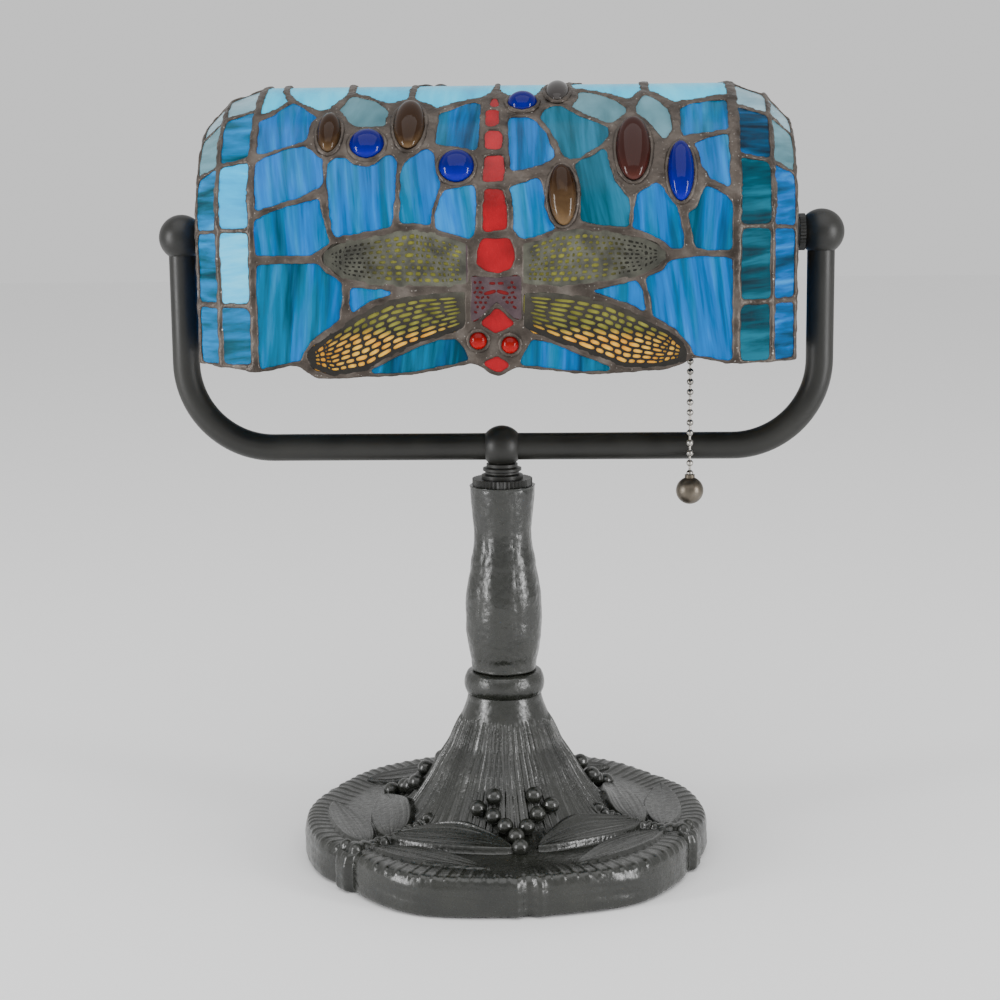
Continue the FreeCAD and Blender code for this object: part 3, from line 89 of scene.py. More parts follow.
def add_surroundings():
    """Pale floor and even studio light."""
    half = 4.0
    mesh = bpy.data.meshes.new("floor")
    mesh.from_pydata([(-half, -half, 0), (half, -half, 0), (half, half, 0), (-half, half, 0)],
                     [], [(0, 1, 2, 3)])
    floor = bpy.data.objects.new("floor", mesh)
    bpy.context.scene.collection.objects.link(floor)
    paint = bpy.data.materials.new("floor_paint")
    paint.use_nodes = True
    surface = paint.node_tree.nodes["Principled BSDF"]
    surface.inputs["Base Color"].default_value = (0.92, 0.92, 0.92, 1)
    surface.inputs["Roughness"].default_value = 0.9
    mesh.materials.append(paint)
    world = bpy.data.worlds.new("studio")
    world.use_nodes = True
    sky = world.node_tree.nodes["Background"]
    sky.inputs["Color"].default_value = (1.0, 1.0, 1.0, 1)
    sky.inputs["Strength"].default_value = 0.85
    bpy.context.scene.world = world
    for softbox in SOFTBOXES:
        add_softbox(*softbox)


# ---------------- material building blocks
class Paint:
    """Small builder for one node material."""

    def __init__(self, name):
        self.material = bpy.data.materials.new(name)
        self.material.use_nodes = True
        self.tree = self.material.node_tree
        self.surface = self.tree.nodes["Principled BSDF"]
        coordinates = self.tree.nodes.new("ShaderNodeTexCoord").outputs
        self.place = coordinates["Object"]
        self.normal = coordinates["Normal"]

    def link(self, item, target):
        """Set an input to a number or a plain colour, or join an output to it."""
        if isinstance(item, (int, float)):
            target.default_value = item
        elif isinstance(item, tuple):
            target.default_value = (*item, 1)
        else:
            self.tree.links.new(item, target)

    def settings(self, **values):
        """Constants on the shader's own sockets."""
        for words, number in values.items():
            name = words.replace("_", " ").title().replace("Ior", "IOR")
            self.surface.inputs[name].default_value = number

    def scaled(self, x, y, z, vector=None):
        """Coordinates scaled along each axis."""
        node = self.tree.nodes.new("ShaderNodeMapping")
        node.inputs["Scale"].default_value = (x, y, z)
        self.link(vector or self.place, node.inputs["Vector"])
        return node.outputs["Vector"]

    def turned(self, angle, axis):
        """Object coordinates turned about an axis by a varying angle."""
        node = self.tree.nodes.new("ShaderNodeVectorRotate")
        node.rotation_type = "AXIS_ANGLE"
        node.inputs["Axis"].default_value = axis
        self.link(self.place, node.inputs["Vector"])
        self.link(angle, node.inputs["Angle"])
        return node.outputs["Vector"]

    def noise(self, scale, detail=2.0, vector=None, seed=None, distortion=0.0):
        """Fractal noise value."""
        node = self.tree.nodes.new("ShaderNodeTexNoise")
        node.noise_dimensions = "4D" if seed is not None else "3D"
        node.inputs["Scale"].default_value = scale
        node.inputs["Detail"].default_value = detail
        node.inputs["Distortion"].default_value = distortion
        self.link(vector or self.place, node.inputs["Vector"])
        if seed is not None:
            self.link(seed, node.inputs["W"])
        return node.outputs["Fac"]

    def cells(self, scale):
        """Distance to the nearest of scattered points."""
        node = self.tree.nodes.new("ShaderNodeTexVoronoi")
        node.inputs["Scale"].default_value = scale
        self.link(self.place, node.inputs["Vector"])
        return node.outputs["Distance"]

    def island(self):
        """Random number that is the same over each separate piece of a mesh."""
        return self.tree.nodes.new("ShaderNodeNewGeometry").outputs["Random Per Island"]

    def operation(self, family, kind, terms):
        """Outputs of a node that works on values or vectors."""
        node = self.tree.nodes.new(family)
        node.operation = kind
        for term, target in zip(terms, node.inputs):
            self.link(term, target)
        return node.outputs

    def math(self, kind, *terms):
        """Arithmetic on values or constants."""
        return self.operation("ShaderNodeMath", kind, terms)[0]

    def within(self, value, low, high):
        """1 where a value lies between two bounds, else 0."""
        return self.math("MULTIPLY", self.math("GREATER_THAN", value, low),
                         self.math("LESS_THAN", value, high))

    def ramp(self, value, stops):
        """Colour ramp with stops of (position, colour)."""
        node = self.tree.nodes.new("ShaderNodeValToRGB")
        marks = node.color_ramp.elements
        while len(marks) < len(stops):
            marks.new(0.5)
        for mark, (position, colour) in zip(marks, stops):
            mark.position = position
            mark.color = (*colour, 1)
        self.link(value, node.inputs["Fac"])
        return node.outputs["Color"]

    def blend(self, amount, first, second):
        """Mix two colours; each may be an output or a plain colour."""
        node = self.tree.nodes.new("ShaderNodeMix")
        node.data_type = "RGBA"
        for slot, item in ((0, amount), (6, first), (7, second)):
            self.link(item, node.inputs[slot])
        return node.outputs[2]

    def range(self, value, low, high, new_low=0.0, new_high=1.0):
        """Map a value from one range onto another, clamped."""
        node = self.tree.nodes.new("ShaderNodeMapRange")
        for slot, item in zip((1, 2, 3, 4), (low, high, new_low, new_high)):
            node.inputs[slot].default_value = item
        self.link(value, node.inputs[0])
        return node.outputs[0]

    def axis_value(self, axis, vector=None):
        """One coordinate, 'X', 'Y' or 'Z'."""
        node = self.tree.nodes.new("ShaderNodeSeparateXYZ")
        self.link(vector or self.place, node.inputs[0])
        return node.outputs[axis]

    def above_pivot(self):
        """Height above the shade's axis."""
        return self.math("SUBTRACT", self.axis_value("Z"), PIVOT)

    def from_middle(self):
        """Distance to the left or right of the lamp's middle."""
        return self.math("ABSOLUTE", self.axis_value("X"))

    def facing_up(self):
        """How far the surface itself faces up, -1 to 1."""
        return self.axis_value("Z", self.normal)

    def facing_out(self):
        """How far the surface faces away from the shade, 1 at a jewel's crown."""
        skin = self.tree.nodes.new("ShaderNodeCombineXYZ")
        self.link(self.axis_value("Y"), skin.inputs["Y"])
        self.link(self.math("MAXIMUM", self.above_pivot(), 0.0), skin.inputs["Z"])
        family = "ShaderNodeVectorMath"
        away = self.operation(family, "NORMALIZE", [skin.outputs["Vector"]])["Vector"]
        return self.operation(family, "DOT_PRODUCT", [self.normal, away])["Value"]

    def colour(self, output):
        """Feed the base colour."""
        self.link(output, self.surface.inputs["Base Color"])

    def roughness(self, value, low, high):
        """Roughness that follows a noise value."""
        self.link(self.range(value, 0.3, 0.7, low, high), self.surface.inputs["Roughness"])

    def bump(self, value, height, strength, onto=None):
        """Add surface relief of this height in metres, on top of an earlier bump if given."""
        node = self.tree.nodes.new("ShaderNodeBump")
        node.inputs["Strength"].default_value = strength
        node.inputs["Distance"].default_value = height
        self.link(value, node.inputs["Height"])
        if onto is not None:
            self.link(onto, node.inputs["Normal"])
        self.link(node.outputs["Normal"], self.surface.inputs["Normal"])
        return node.outputs["Normal"]


# ---------------- materials
def satin_bronze():
    """Sprayed dark bronze lacquer on tubes and turned fittings."""
    paint = Paint("satin_bronze")
    broad = paint.noise(45, 3)
    fine = paint.noise(900, 2)
    paint.colour(paint.ramp(broad, ((0.3, (0.0075, 0.0075, 0.0062)),
                                    (0.7, (0.0140, 0.0138, 0.0115)))))
    paint.settings(metallic=0.0, specular_ior_level=0.42)
    paint.roughness(broad, 0.36, 0.5)
    paint.bump(fine, 0.00006, 0.6)
    return paint.material


def cast_bronze():
    """Rougher, glossier lacquer over the castings."""
    paint = Paint("cast_bronze")
    broad = paint.noise(60, 4)
    grain = paint.noise(520, 4)
    pits = paint.cells(340)
    paint.colour(paint.ramp(broad, ((0.3, (0.0060, 0.0070, 0.0050)),
                                    (0.75, (0.0165, 0.0175, 0.0135)))))
    paint.settings(metallic=0.0, specular_ior_level=0.66)
    paint.roughness(grain, 0.18, 0.38)
    first = paint.bump(grain, 0.00035, 0.5)
    paint.bump(pits, 0.0002, 0.35, onto=first)
    return paint.material


def solder():
    """Patinated solder with lumps and bright specks that are painted glints."""
    paint = Paint("solder")
    patches = paint.noise(120, 4)
    lumps = paint.noise(420, 3, distortion=0.6)
    specks = paint.noise(900, 2)
    dull = paint.ramp(patches, ((0.3, (0.034, 0.027, 0.022)), (0.55, (0.076, 0.062, 0.052)),
                                (0.8, (0.140, 0.122, 0.106))))
    # Painted highlight: small bright specks stand in for glints on the solder.
    painted_glints = paint.range(specks, 0.68, 0.76)
    paint.colour(paint.blend(painted_glints, dull, (0.36, 0.34, 0.31)))
    paint.settings(metallic=0.6, specular_ior_level=0.4)
    paint.roughness(patches, 0.30, 0.52)
    paint.bump(lumps, 0.0007, 0.6)
    return paint.material


def streaky_glass(name, stops, stretch, wander=0.35, shift=0.12, tint=None, windows=()):
    """Rolled art glass; streaks run where stretch is small and stops give their colours.

    wander turns the streaks of each pane by up to half of it either way, in radians, and
    shift makes each pane lighter or darker.  tint holds the stops of a second hue.  Each
    window is (lowest, highest, nearest x, furthest x, stops), its first two in degrees
    above the pivot: panes inside it take other colours.
    """
    paint = Paint(name)
    island = paint.island()
    angle = paint.math("MULTIPLY_ADD", island, wander, -0.5 * wander)
    seed = paint.math("MULTIPLY", island, 61.0)
    lean = paint.turned(angle, (0, 1, 0))

    def streaks(scale, detail, pane, distortion=0.0):
        along = paint.scaled(*(scale * item for item in stretch), lean)
        return paint.noise(1.0, detail, along, pane, distortion)

    broad_share, streak_share, fine_share = 0.30, 0.52, 0.18
    mixed = paint.math("MULTIPLY", streaks(0.4, 2, seed), broad_share)
    mixed = paint.math("MULTIPLY_ADD", streaks(1.0, 5, seed, 0.7), streak_share, mixed)
    mixed = paint.math("MULTIPLY_ADD", streaks(3.2, 3, seed), fine_share, mixed)
    moved = paint.math("ADD", mixed, paint.math("MULTIPLY_ADD", island, shift, -0.5 * shift))
    colour = paint.ramp(moved, stops)
    if tint:
        other = streaks(0.7, 4, paint.math("ADD", seed, 17.0))
        other = paint.math("MULTIPLY_ADD", island, -0.16, paint.math("ADD", other, 0.08))
        colour = paint.blend(paint.range(other, 0.43, 0.58), colour, paint.ramp(moved, tint))
    depth = paint.math("ABSOLUTE", paint.axis_value("Y"))
    climb = paint.math("ARCTAN2", paint.above_pivot(), depth)
    away = paint.from_middle()
    for low, high, nearest, furthest, inner in windows:
        level = paint.within(climb, math.radians(low), math.radians(high))
        inside = paint.math("MULTIPLY", level, paint.within(away, nearest, furthest))
        colour = paint.blend(inside, colour, paint.ramp(moved, inner))
    paint.colour(colour)
    paint.settings(specular_ior_level=0.15, roughness=0.22)
    paint.bump(paint.noise(130, 3), 0.0005, 0.22)
    return paint.material


def jewel_glass(name, deep, light):
    """Polished pressed-glass jewel with painted shade at its rim and painted light in its lower
    half.
    """
    paint = Paint(name)
    swirl = paint.noise(110, 2, distortion=1.2)
    # Painted light: faces that look down take the light colour, as if light gathered in the
    # jewel's lower half.
    facing_down = paint.math("MULTIPLY", paint.facing_up(), -1.0)
    under = paint.math("MULTIPLY_ADD", swirl, 0.5, facing_down)
    body = paint.blend(paint.range(under, -0.15, 0.75), deep, light)
    # Painted shade: the colour darkens towards the jewel's rim.
    rim = paint.range(paint.facing_out(), 0.73, 0.10)
    dark = tuple(0.35 * item for item in deep)
    paint.colour(paint.blend(rim, body, dark))
    paint.settings(roughness=0.04, specular_ior_level=0.19)
    paint.bump(paint.noise(160, 2), 0.0002, 0.12)
    return paint.material


def pressed_red():
    """Finely ribbed red glass of the insect's body."""
    paint = Paint("pressed_red")
    broad = paint.noise(90, 3)
    ribs = paint.noise(1.0, 2, paint.scaled(1500, 1500, 500))
    paint.colour(paint.ramp(broad, ((0.25, (0.17, 0.0, 0.002)), (0.75, (0.36, 0.0, 0.007)))))
    paint.settings(roughness=0.3, specular_ior_level=0.3)
    paint.bump(ribs, 0.0003, 0.5)
    return paint.material


def wing_colour():
    """Olive wing glass, amber towards the lower tips and red under the insect's back."""
    paint = Paint("wing_colour")
    height = paint.above_pivot()
    away = paint.from_middle()
    wobble = paint.math("MULTIPLY_ADD", paint.noise(90, 2), 0.007, -0.0035)
    level = paint.math("ADD", paint.math("MULTIPLY_ADD", away, 0.06, height), wobble)
    amber = paint.range(level, -32.5 * MM, -36.5 * MM)
    olive = paint.ramp(paint.noise(150, 3), ((0.3, (0.13, 0.128, 0.014)),
                                            (0.7, (0.30, 0.29, 0.05))))
    gold = paint.ramp(paint.noise(260, 2), ((0.3, (0.86, 0.34, 0.008)), (0.7, (1.0, 0.58, 0.07))))
    glass = paint.blend(amber, olive, gold)
    smoky = paint.math("MULTIPLY", paint.range(away, 40 * MM, 54 * MM),
                       paint.math("GREATER_THAN", height, -18.5 * MM))
    glass = paint.blend(smoky, glass, (0.022, 0.021, 0.014))
    back = paint.math("LESS_THAN", away, 11 * MM)
    paint.colour(paint.blend(back, glass, (0.17, 0.002, 0.003)))
    paint.settings(roughness=0.32, specular_ior_level=0.3)
    paint.bump(paint.noise(500, 2), 0.0002, 0.4)
    return paint.material


def etched_plate():
    """Etched filigree: grey-green upper wings, darker lower wings, plum back."""
    paint = Paint("etched_plate")
    height = paint.above_pivot()
    away = paint.from_middle()
    lower = paint.range(height, -18 * MM, -24 * MM)
    patches = paint.noise(140, 4)
    upper_tone = paint.ramp(patches, ((0.35, (0.034, 0.034, 0.026)),
                                      (0.65, (0.100, 0.101, 0.076))))
    lower_tone = paint.ramp(patches, ((0.3, (0.018, 0.015, 0.011)),
                                      (0.7, (0.042, 0.037, 0.027))))
    plum = paint.ramp(patches, ((0.3, (0.034, 0.020, 0.024)), (0.7, (0.085, 0.055, 0.062))))
    outer = paint.range(away, 44 * MM, 60 * MM, 0.0, 0.45)
    upper_tone = paint.blend(outer, upper_tone, (0.024, 0.024, 0.020))
    below = paint.range(height, -31 * MM, -36 * MM, 0.0, 0.8)
    lower_tone = paint.blend(below, lower_tone, (0.007, 0.006, 0.005))
    wings = paint.blend(lower, upper_tone, lower_tone)
    back = paint.math("LESS_THAN", away, 11.2 * MM)
    paint.colour(paint.blend(back, wings, plum))
    paint.settings(metallic=0.3, specular_ior_level=0.4)
    paint.roughness(patches, 0.36, 0.56)
    paint.bump(paint.noise(800, 3), 0.0003, 0.6)
    return paint.material


def metal(name, dark, light, low, high, metallic=1.0):
    """Plain metal with mottled tone and a fine grain; low and high bound its roughness."""
    paint = Paint(name)
    patches = paint.noise(160, 3)
    paint.colour(paint.ramp(patches, ((0.3, dark), (0.7, light))))
    paint.settings(metallic=metallic)
    paint.roughness(patches, low, high)
    paint.bump(paint.noise(700, 2), 0.00008, 0.5)
    return paint.material


def matt(name, dark, light, rough, grain, height):
    """Felt, fibre, rubber or moulded plastic."""
    paint = Paint(name)
    patches = paint.noise(grain, 4)
    paint.colour(paint.ramp(patches, ((0.3, dark), (0.7, light))))
    paint.settings(roughness=rough)
    paint.bump(paint.noise(2.0 * grain, 2), height, 0.6)
    return paint.material


def bulb_frost():
    """Frosted bulb glass."""
    paint = Paint("bulb_frost")
    patches = paint.noise(80, 2)
    paint.colour(paint.ramp(patches, ((0.3, (0.82, 0.82, 0.79)), (0.7, (0.9, 0.9, 0.88)))))
    paint.settings(roughness=0.3, transmission_weight=0.25)
    paint.bump(paint.noise(1500, 2), 0.00003, 0.4)
    return paint.material


# Colours of the art glass from its dark to its light streaks.
BLUE_STOPS = ((0.37, (0.0, 0.030, 0.080)), (0.44, (0.0, 0.068, 0.20)), (0.50, (0.0, 0.098, 0.33)),
              (0.56, (0.0, 0.130, 0.45)), (0.64, (0.008, 0.205, 0.57)))
SEA_STOPS = ((0.37, (0.0, 0.034, 0.058)), (0.45, (0.0, 0.078, 0.140)), (0.53, (0.0, 0.122, 0.255)),
             (0.63, (0.008, 0.205, 0.43)))
TEAL_STOPS = ((0.37, (0.0, 0.024, 0.034)), (0.45, (0.0, 0.056, 0.084)),
              (0.53, (0.003, 0.094, 0.155)), (0.63, (0.015, 0.155, 0.27)))
DARK_STOPS = ((0.39, (0.0, 0.005, 0.010)), (0.47, (0.0, 0.020, 0.032)),
              (0.54, (0.0, 0.050, 0.076)), (0.63, (0.004, 0.115, 0.175)))
RING_STOPS = ((0.38, (0.0, 0.018, 0.033)), (0.45, (0.0, 0.070, 0.110)), (0.50, (0.0, 0.115, 0.26)),
              (0.56, (0.0, 0.175, 0.44)), (0.64, (0.02, 0.29, 0.60)))
TIDE_STOPS = ((0.39, (0.0, 0.010, 0.024)), (0.46, (0.0, 0.040, 0.095)), (0.52, (0.0, 0.070, 0.22)),
              (0.57, (0.0, 0.100, 0.36)), (0.64, (0.015, 0.20, 0.52)))
GRAY_STOPS = ((0.38, (0.05, 0.135, 0.165)), (0.50, (0.085, 0.20, 0.24)),
              (0.62, (0.13, 0.28, 0.34)))
MIST_STOPS = ((0.38, (0.10, 0.20, 0.25)), (0.50, (0.17, 0.31, 0.38)), (0.62, (0.26, 0.42, 0.49)))
SKY_STOPS = ((0.38, (0.0, 0.40, 0.68)), (0.50, (0.0, 0.55, 0.86)), (0.62, (0.06, 0.66, 0.95)))
PALE_STOPS = ((0.38, (0.0, 0.32, 0.66)), (0.50, (0.0, 0.46, 0.84)), (0.62, (0.10, 0.62, 0.92)))
# Noise scales along X, Y and Z; the streaks run where the scale is small.
UPRIGHT = (190.0, 22.0, 15.0)
ACROSS = (22.0, 150.0, 16.0)
LEVEL = (22.0, 30.0, 170.0)
# Joints between the end rings' panes, in degrees above the pivot.
SKIRT_JOINT, LOW_JOINT, HIGH_JOINT, TOP = -22.8, 32, 58, 91
RING_EDGE = 113.2 * MM
PAST_END = 0.2
TOP_PANES = ((LOW_JOINT, HIGH_JOINT, RING_EDGE, PAST_END, GRAY_STOPS),
             (HIGH_JOINT, TOP, 0.0, PAST_END, MIST_STOPS))
DARK_PANES = ((-90, LOW_JOINT, 0.0, RING_EDGE, DARK_STOPS),)
PALE_PANES = ((SKIRT_JOINT, LOW_JOINT, 0.0, RING_EDGE, PALE_STOPS),)


def make_materials():
    """All materials by name."""
    return {
        "bronze": satin_bronze(), "casting": cast_bronze(), "solder": solder(),
        "blue": streaky_glass("blue_glass", BLUE_STOPS, UPRIGHT, tint=SEA_STOPS),
        "cap": streaky_glass("cap_glass", BLUE_STOPS, ACROSS, tint=SEA_STOPS),
        "teal": streaky_glass("teal_glass", TEAL_STOPS, UPRIGHT, wander=0.5),
        "gray": streaky_glass("gray_glass", GRAY_STOPS, (60.0, 30.0, 30.0)),
        "sky": streaky_glass("sky_glass", SKY_STOPS, (90.0, 20.0, 20.0)),
        "end_teal": streaky_glass("end_teal_glass", TIDE_STOPS, LEVEL, wander=0.2,
                                  windows=DARK_PANES + TOP_PANES),
        "end_blue": streaky_glass("end_blue_glass", RING_STOPS, LEVEL, wander=0.3,
                                  windows=PALE_PANES + TOP_PANES),
        # Jewels: each first colour is the glass's deep tone, each second the painted light of its
        # lower half.
        "cobalt": jewel_glass("cobalt_glass", (0.0, 0.0, 0.11), (0.0, 0.0, 0.34)),
        "amber": jewel_glass("amber_glass", (0.020, 0.007, 0.001), (0.15, 0.090, 0.040)),
        "garnet": jewel_glass("garnet_glass", (0.026, 0.006, 0.004), (0.085, 0.022, 0.016)),
        "smoke": jewel_glass("smoke_glass", (0.035, 0.031, 0.030), (0.15, 0.135, 0.125)),
        "eyes": jewel_glass("eye_glass", (0.15, 0.0, 0.0), (0.34, 0.004, 0.004)),
        "red": pressed_red(), "wings": wing_colour(), "etched": etched_plate(),
        "brass": metal("brass", (0.40, 0.27, 0.10), (0.62, 0.45, 0.20), 0.25, 0.4),
        "steel": metal("steel", (0.40, 0.40, 0.39), (0.56, 0.56, 0.55), 0.25, 0.4),
        "nickel": metal("nickel", (0.20, 0.19, 0.17), (0.44, 0.42, 0.39), 0.22, 0.4),
        "antique": metal("antique_ball", (0.07, 0.058, 0.042), (0.16, 0.138, 0.11), 0.3, 0.45,
                         metallic=0.8),
        "felt": matt("felt", (0.02, 0.02, 0.018), (0.04, 0.04, 0.036), 0.95, 900, 0.0004),
        "black": matt("black_moulding", (0.012, 0.012, 0.012), (0.022, 0.022, 0.022), 0.45,
                      500, 0.00005),
        "fibre": matt("fibre", (0.30, 0.22, 0.12), (0.42, 0.32, 0.19), 0.8, 600, 0.0001),
        "frost": bulb_frost(),
    }


# Material of each CAD node.
FINISHES = {
    "bronze": ("column_locknut", "neck_collar", "tee_ball", "left_arm", "right_arm",
               "left_end_ball", "right_end_ball", "knurled_washers", "pivot_spacers",
               "friction_washers"),
    "casting": ("base_casting", "base_collar", "column"),
    "solder": ("shade_came",), "blue": ("panes_blue_front", "panes_blue_back"),
    "teal": ("panes_teal",), "gray": ("panes_gray",), "sky": ("panes_sky",),
    "end_blue": ("end_panes_left",), "end_teal": ("end_panes_right",), "cap": ("cap_panes",),
    "cobalt": ("jewels_cobalt",), "amber": ("jewels_amber",), "garnet": ("jewels_garnet",),
    "smoke": ("jewels_smoke",), "eyes": ("dragonfly_eyes",),
    "red": ("dragonfly_segments",), "wings": ("wing_glass",), "etched": ("wing_filigree",),
    "brass": ("pivot_nipples", "keeper_washers", "keeper_nuts", "shade_bushes", "holder_cap",
              "holder_shell", "holder_screw_shell", "center_contact", "bulb_screw_base",
              "chain_outlet"),
    "steel": ("base_cover_plate", "threaded_rod", "rod_washer", "rod_nut", "bulb_filament"),
    "nickel": ("pull_coupling", "pull_chain"), "antique": ("pull_ball",),
    "felt": ("base_felt",), "black": ("cord_bushing", "switch_body", "supply_lead"),
    "fibre": ("holder_liner",), "frost": ("bulb_glass", "bulb_stem"),
}


def paint_frame(kit):
    """Give every CAD node its material."""
    for name, members in FINISHES.items():
        for node in members:
            mesh = nodes[node].data
            mesh.materials.clear()
            mesh.materials.append(kit[name])


# ---------------- mesh building blocks
def add_object(mesh, material, body, replaced=()):
    """Link a finished piece, make it ride on its body and stand for its CAD nodes."""
    piece = bpy.data.objects.new(mesh.name, mesh)
    bpy.context.scene.collection.objects.link(piece)
    mesh.materials.append(material)
    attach(piece, body)
    if replaced:
        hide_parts(*replaced)


def grid_mesh(name, *grids):
    """Smooth quad mesh from grids of points; each row of a grid closes into a ring."""
    corners = []
    faces = []
    start = 0
    for points in grids:
        rows, columns, _ = points.shape
        index = start + np.arange(rows * columns).reshape(rows, columns)
        after = np.roll(index, -1, axis=1)
        quads = np.stack((index[:-1], after[:-1], after[1:], index[1:]), axis=-1)
        corners += points.reshape(-1, 3).tolist()
        faces += quads.reshape(-1, 4).tolist()
        start += rows * columns
    mesh = bpy.data.meshes.new(name)
    mesh.from_pydata(corners, [], faces)
    mesh.shade_smooth()
    return mesh


def spline_through(corners, count):
    """Evenly spaced points of a smooth curve through the corners."""
    corners = np.asarray(corners, dtype=float)
    padded = np.vstack((2 * corners[0] - corners[1], corners, 2 * corners[-1] - corners[-2]))
    samples = []
    for span in range(len(corners) - 1):
        p0, p1, p2, p3 = padded[span:span + 4]
        t = np.linspace(0, 1, 24, endpoint=False)[:, None]
        bend = (2 * p0 - 5 * p1 + 4 * p2 - p3) * t ** 2
        twist = (3 * p1 - p0 - 3 * p2 + p3) * t ** 3
        samples.append(0.5 * (2 * p1 + (p2 - p0) * t + bend + twist))
    samples = np.vstack(samples + [corners[-1:]])
    walked = np.concatenate(([0], np.cumsum(np.linalg.norm(np.diff(samples, axis=0), axis=1))))
    even = np.linspace(0, walked[-1], count)
    return np.column_stack([np.interp(even, walked, samples[:, axis]) for axis in (0, 1)])


def lathe(name, profile, segments, swell):
    """Mesh turned about Z from millimetres; swell(angle, height) adds to the radius."""
    angle = np.linspace(0, 2 * math.pi, segments, endpoint=False)
    radius, height = profile[:, 0:1], profile[:, 1:2]
    reach = radius + swell(angle[None, :], height)
    points = np.stack((reach * np.cos(angle), reach * np.sin(angle),
                       np.broadcast_to(height, reach.shape)), axis=-1)
    return grid_mesh(name, points * MM)


def rough_field(angle, height, radius, grain):
    """Random dents over a turned surface, about -1 to 1, as wide as the grain."""
    field = np.zeros(np.broadcast(angle, height).shape)
    for row, level in enumerate(height[:, 0]):
        for column, turn in enumerate(angle[0]):
            spot = Vector((radius * math.cos(turn), radius * math.sin(turn), level))
            field[row, column] = noise.noise(spot / grain)
    return field


def gauss(value, width):
    """Bell of height 1."""
    return np.exp(-(value / width) ** 2)


def angle_from(angle, centre):
    """Signed difference of angles in degrees, wrapped."""
    return (np.degrees(angle) - centre + 180.0) % 360.0 - 180.0


# ---------------- base casting
# Azimuths of the insects and of the berry clusters, and the base's (radius, height) in mm.
DRAGONFLIES = (100.5, 220.5, 340.5)
BERRIES = (38.0, 158.0, 278.0)
BASE_PROFILE = ((84.6, 4.0), (85.6, 0.8), (89.6, 0.8), (91.3, 2.6), (91.5, 8.0), (91.3, 13.6),
                (90.0, 16.9), (87.6, 18.2), (83.0, 18.0), (78.0, 17.1), (73.0, 16.5),
                (66.0, 16.7), (58.0, 17.8), (50.0, 19.6), (44.0, 23.0), (38.2, 30.3),
                (33.6, 37.4), (30.6, 42.8), (27.7, 47.2), (25.2, 51.2), (23.3, 55.6),
                (21.2, 60.0), (19.6, 63.6), (18.1, 67.4), (17.1, 70.4), (16.3, 73.4),
                (14.6, 74.2))
# Soft lobes of the rim: azimuth and how far each stands out.
RIM_LOBES = ((69, 1.2), (129, 1.2), (249, 4.2), (279, 2.6), (309, 4.2))
BERRY_RADIUS = 3.7
# Berries of one cluster: distance from the axis, sideways shift, height of the middle.
BERRY_SPOTS = ((36.3, -8.8, 35.6), (37.2, -16.2, 31.0), (41.2, -9.8, 28.4), (36.3, 8.8, 35.6),
               (37.2, 16.2, 31.0), (41.2, 9.8, 28.4), (46.0, -5.0, 25.2), (46.4, 4.4, 24.6),
               (51.8, -0.8, 22.4), (58.6, 0.2, 19.8))


def smooth_step(value):
    """Soft rise from 0 to 1 as the value does so."""
    value = np.clip(value, 0, 1)
    return value * value * (3 - 2 * value)


def leaf(x, y, foot, tip, half, bow):
    """Height of one veined wing blade lying on the base plate, 0 outside it."""
    foot = np.array(foot)
    tip = np.array(tip)
    length = np.linalg.norm(tip - foot)
    way = (tip - foot) / length
    along = ((x - foot[0]) * way[0] + (y - foot[1]) * way[1]) / length
    aside = (y - foot[1]) * way[0] - (x - foot[0]) * way[1]
    aside = aside - bow * 4 * along * (1 - along)
    inner = np.clip(along, 0.0, 1.0)
    width = half * np.sin(math.pi * inner ** 0.85) ** 0.62 + 1e-3
    across = aside / width
    edge = smooth_step((1 - np.abs(across)) * width / 1.1)
    veins = 0.13 * np.sin(20 * across + 4 * along) + 0.07 * np.sin(47 * across + 9 * along)
    midrib = 0.22 * gauss(across + 0.15, 0.07)
    dish = 0.62 + 0.42 * across ** 2
    return np.where((along > 0) & (along < 1), edge * (dish + veins * (1 - along) + midrib), 0)


def polar(radius, degrees):
    """Point on the base from its radius and azimuth."""
    turn = math.radians(degrees)
    return (radius * math.cos(turn), radius * math.sin(turn))


def dome(x, y, spot, size, rise):
    """Height of a round boss."""
    return rise * np.sqrt(np.clip(1 - (np.hypot(x - spot[0], y - spot[1]) / size) ** 2, 0, 1))


def rim_outline(angle):
    """How far the lobed rim stands out from the mean radius."""
    outline = np.zeros(angle.shape)
    for centre in DRAGONFLIES:
        off = angle_from(angle, centre)
        outline = outline - 3.2 * gauss(off, 8.0)
        outline = outline + 3.4 * np.exp(-(off / 3.2) ** 6)
    for centre in BERRIES:
        off = angle_from(angle, centre)
        outline = outline - 1.9 * gauss(off, 12.0)
        outline = outline + 1.3 * gauss(off - 3.0, 1.3) - 1.2 * gauss(off, 1.6)
        outline = outline + 1.1 * gauss(off + 3.4, 1.4)
    for centre, reach in RIM_LOBES:
        outline = outline + reach * gauss(angle_from(angle, centre), 15.0)
    return outline


def ball_points(centre, radius):
    """Rings of a ball, from pole to pole."""
    pole = 0.02
    tilt = np.linspace(pole, math.pi - pole, 16)[:, None]
    turn = np.linspace(0, 2 * math.pi, 28, endpoint=False)[None, :]
    level = centre[2] + radius * np.cos(tilt) + 0.0 * turn
    return np.stack((centre[0] + radius * np.sin(tilt) * np.cos(turn),
                     centre[1] + radius * np.sin(tilt) * np.sin(turn), level), axis=-1)


def border_relief(angle, radius, above, wander):
    """Notches of the band inside the rim."""
    lean = 0.035 * (radius - 82.0) * np.sin(3 * (angle - math.radians(BERRIES[0])))
    ridge = np.abs(np.sin(51 * angle + 1.6 * lean + 0.35 * wander)) ** 0.7
    border = smooth_step((radius - 73.0) / 3.0) * smooth_step((91.2 - radius) / 1.4) * above
    return 1.9 * (ridge - 0.8) * border


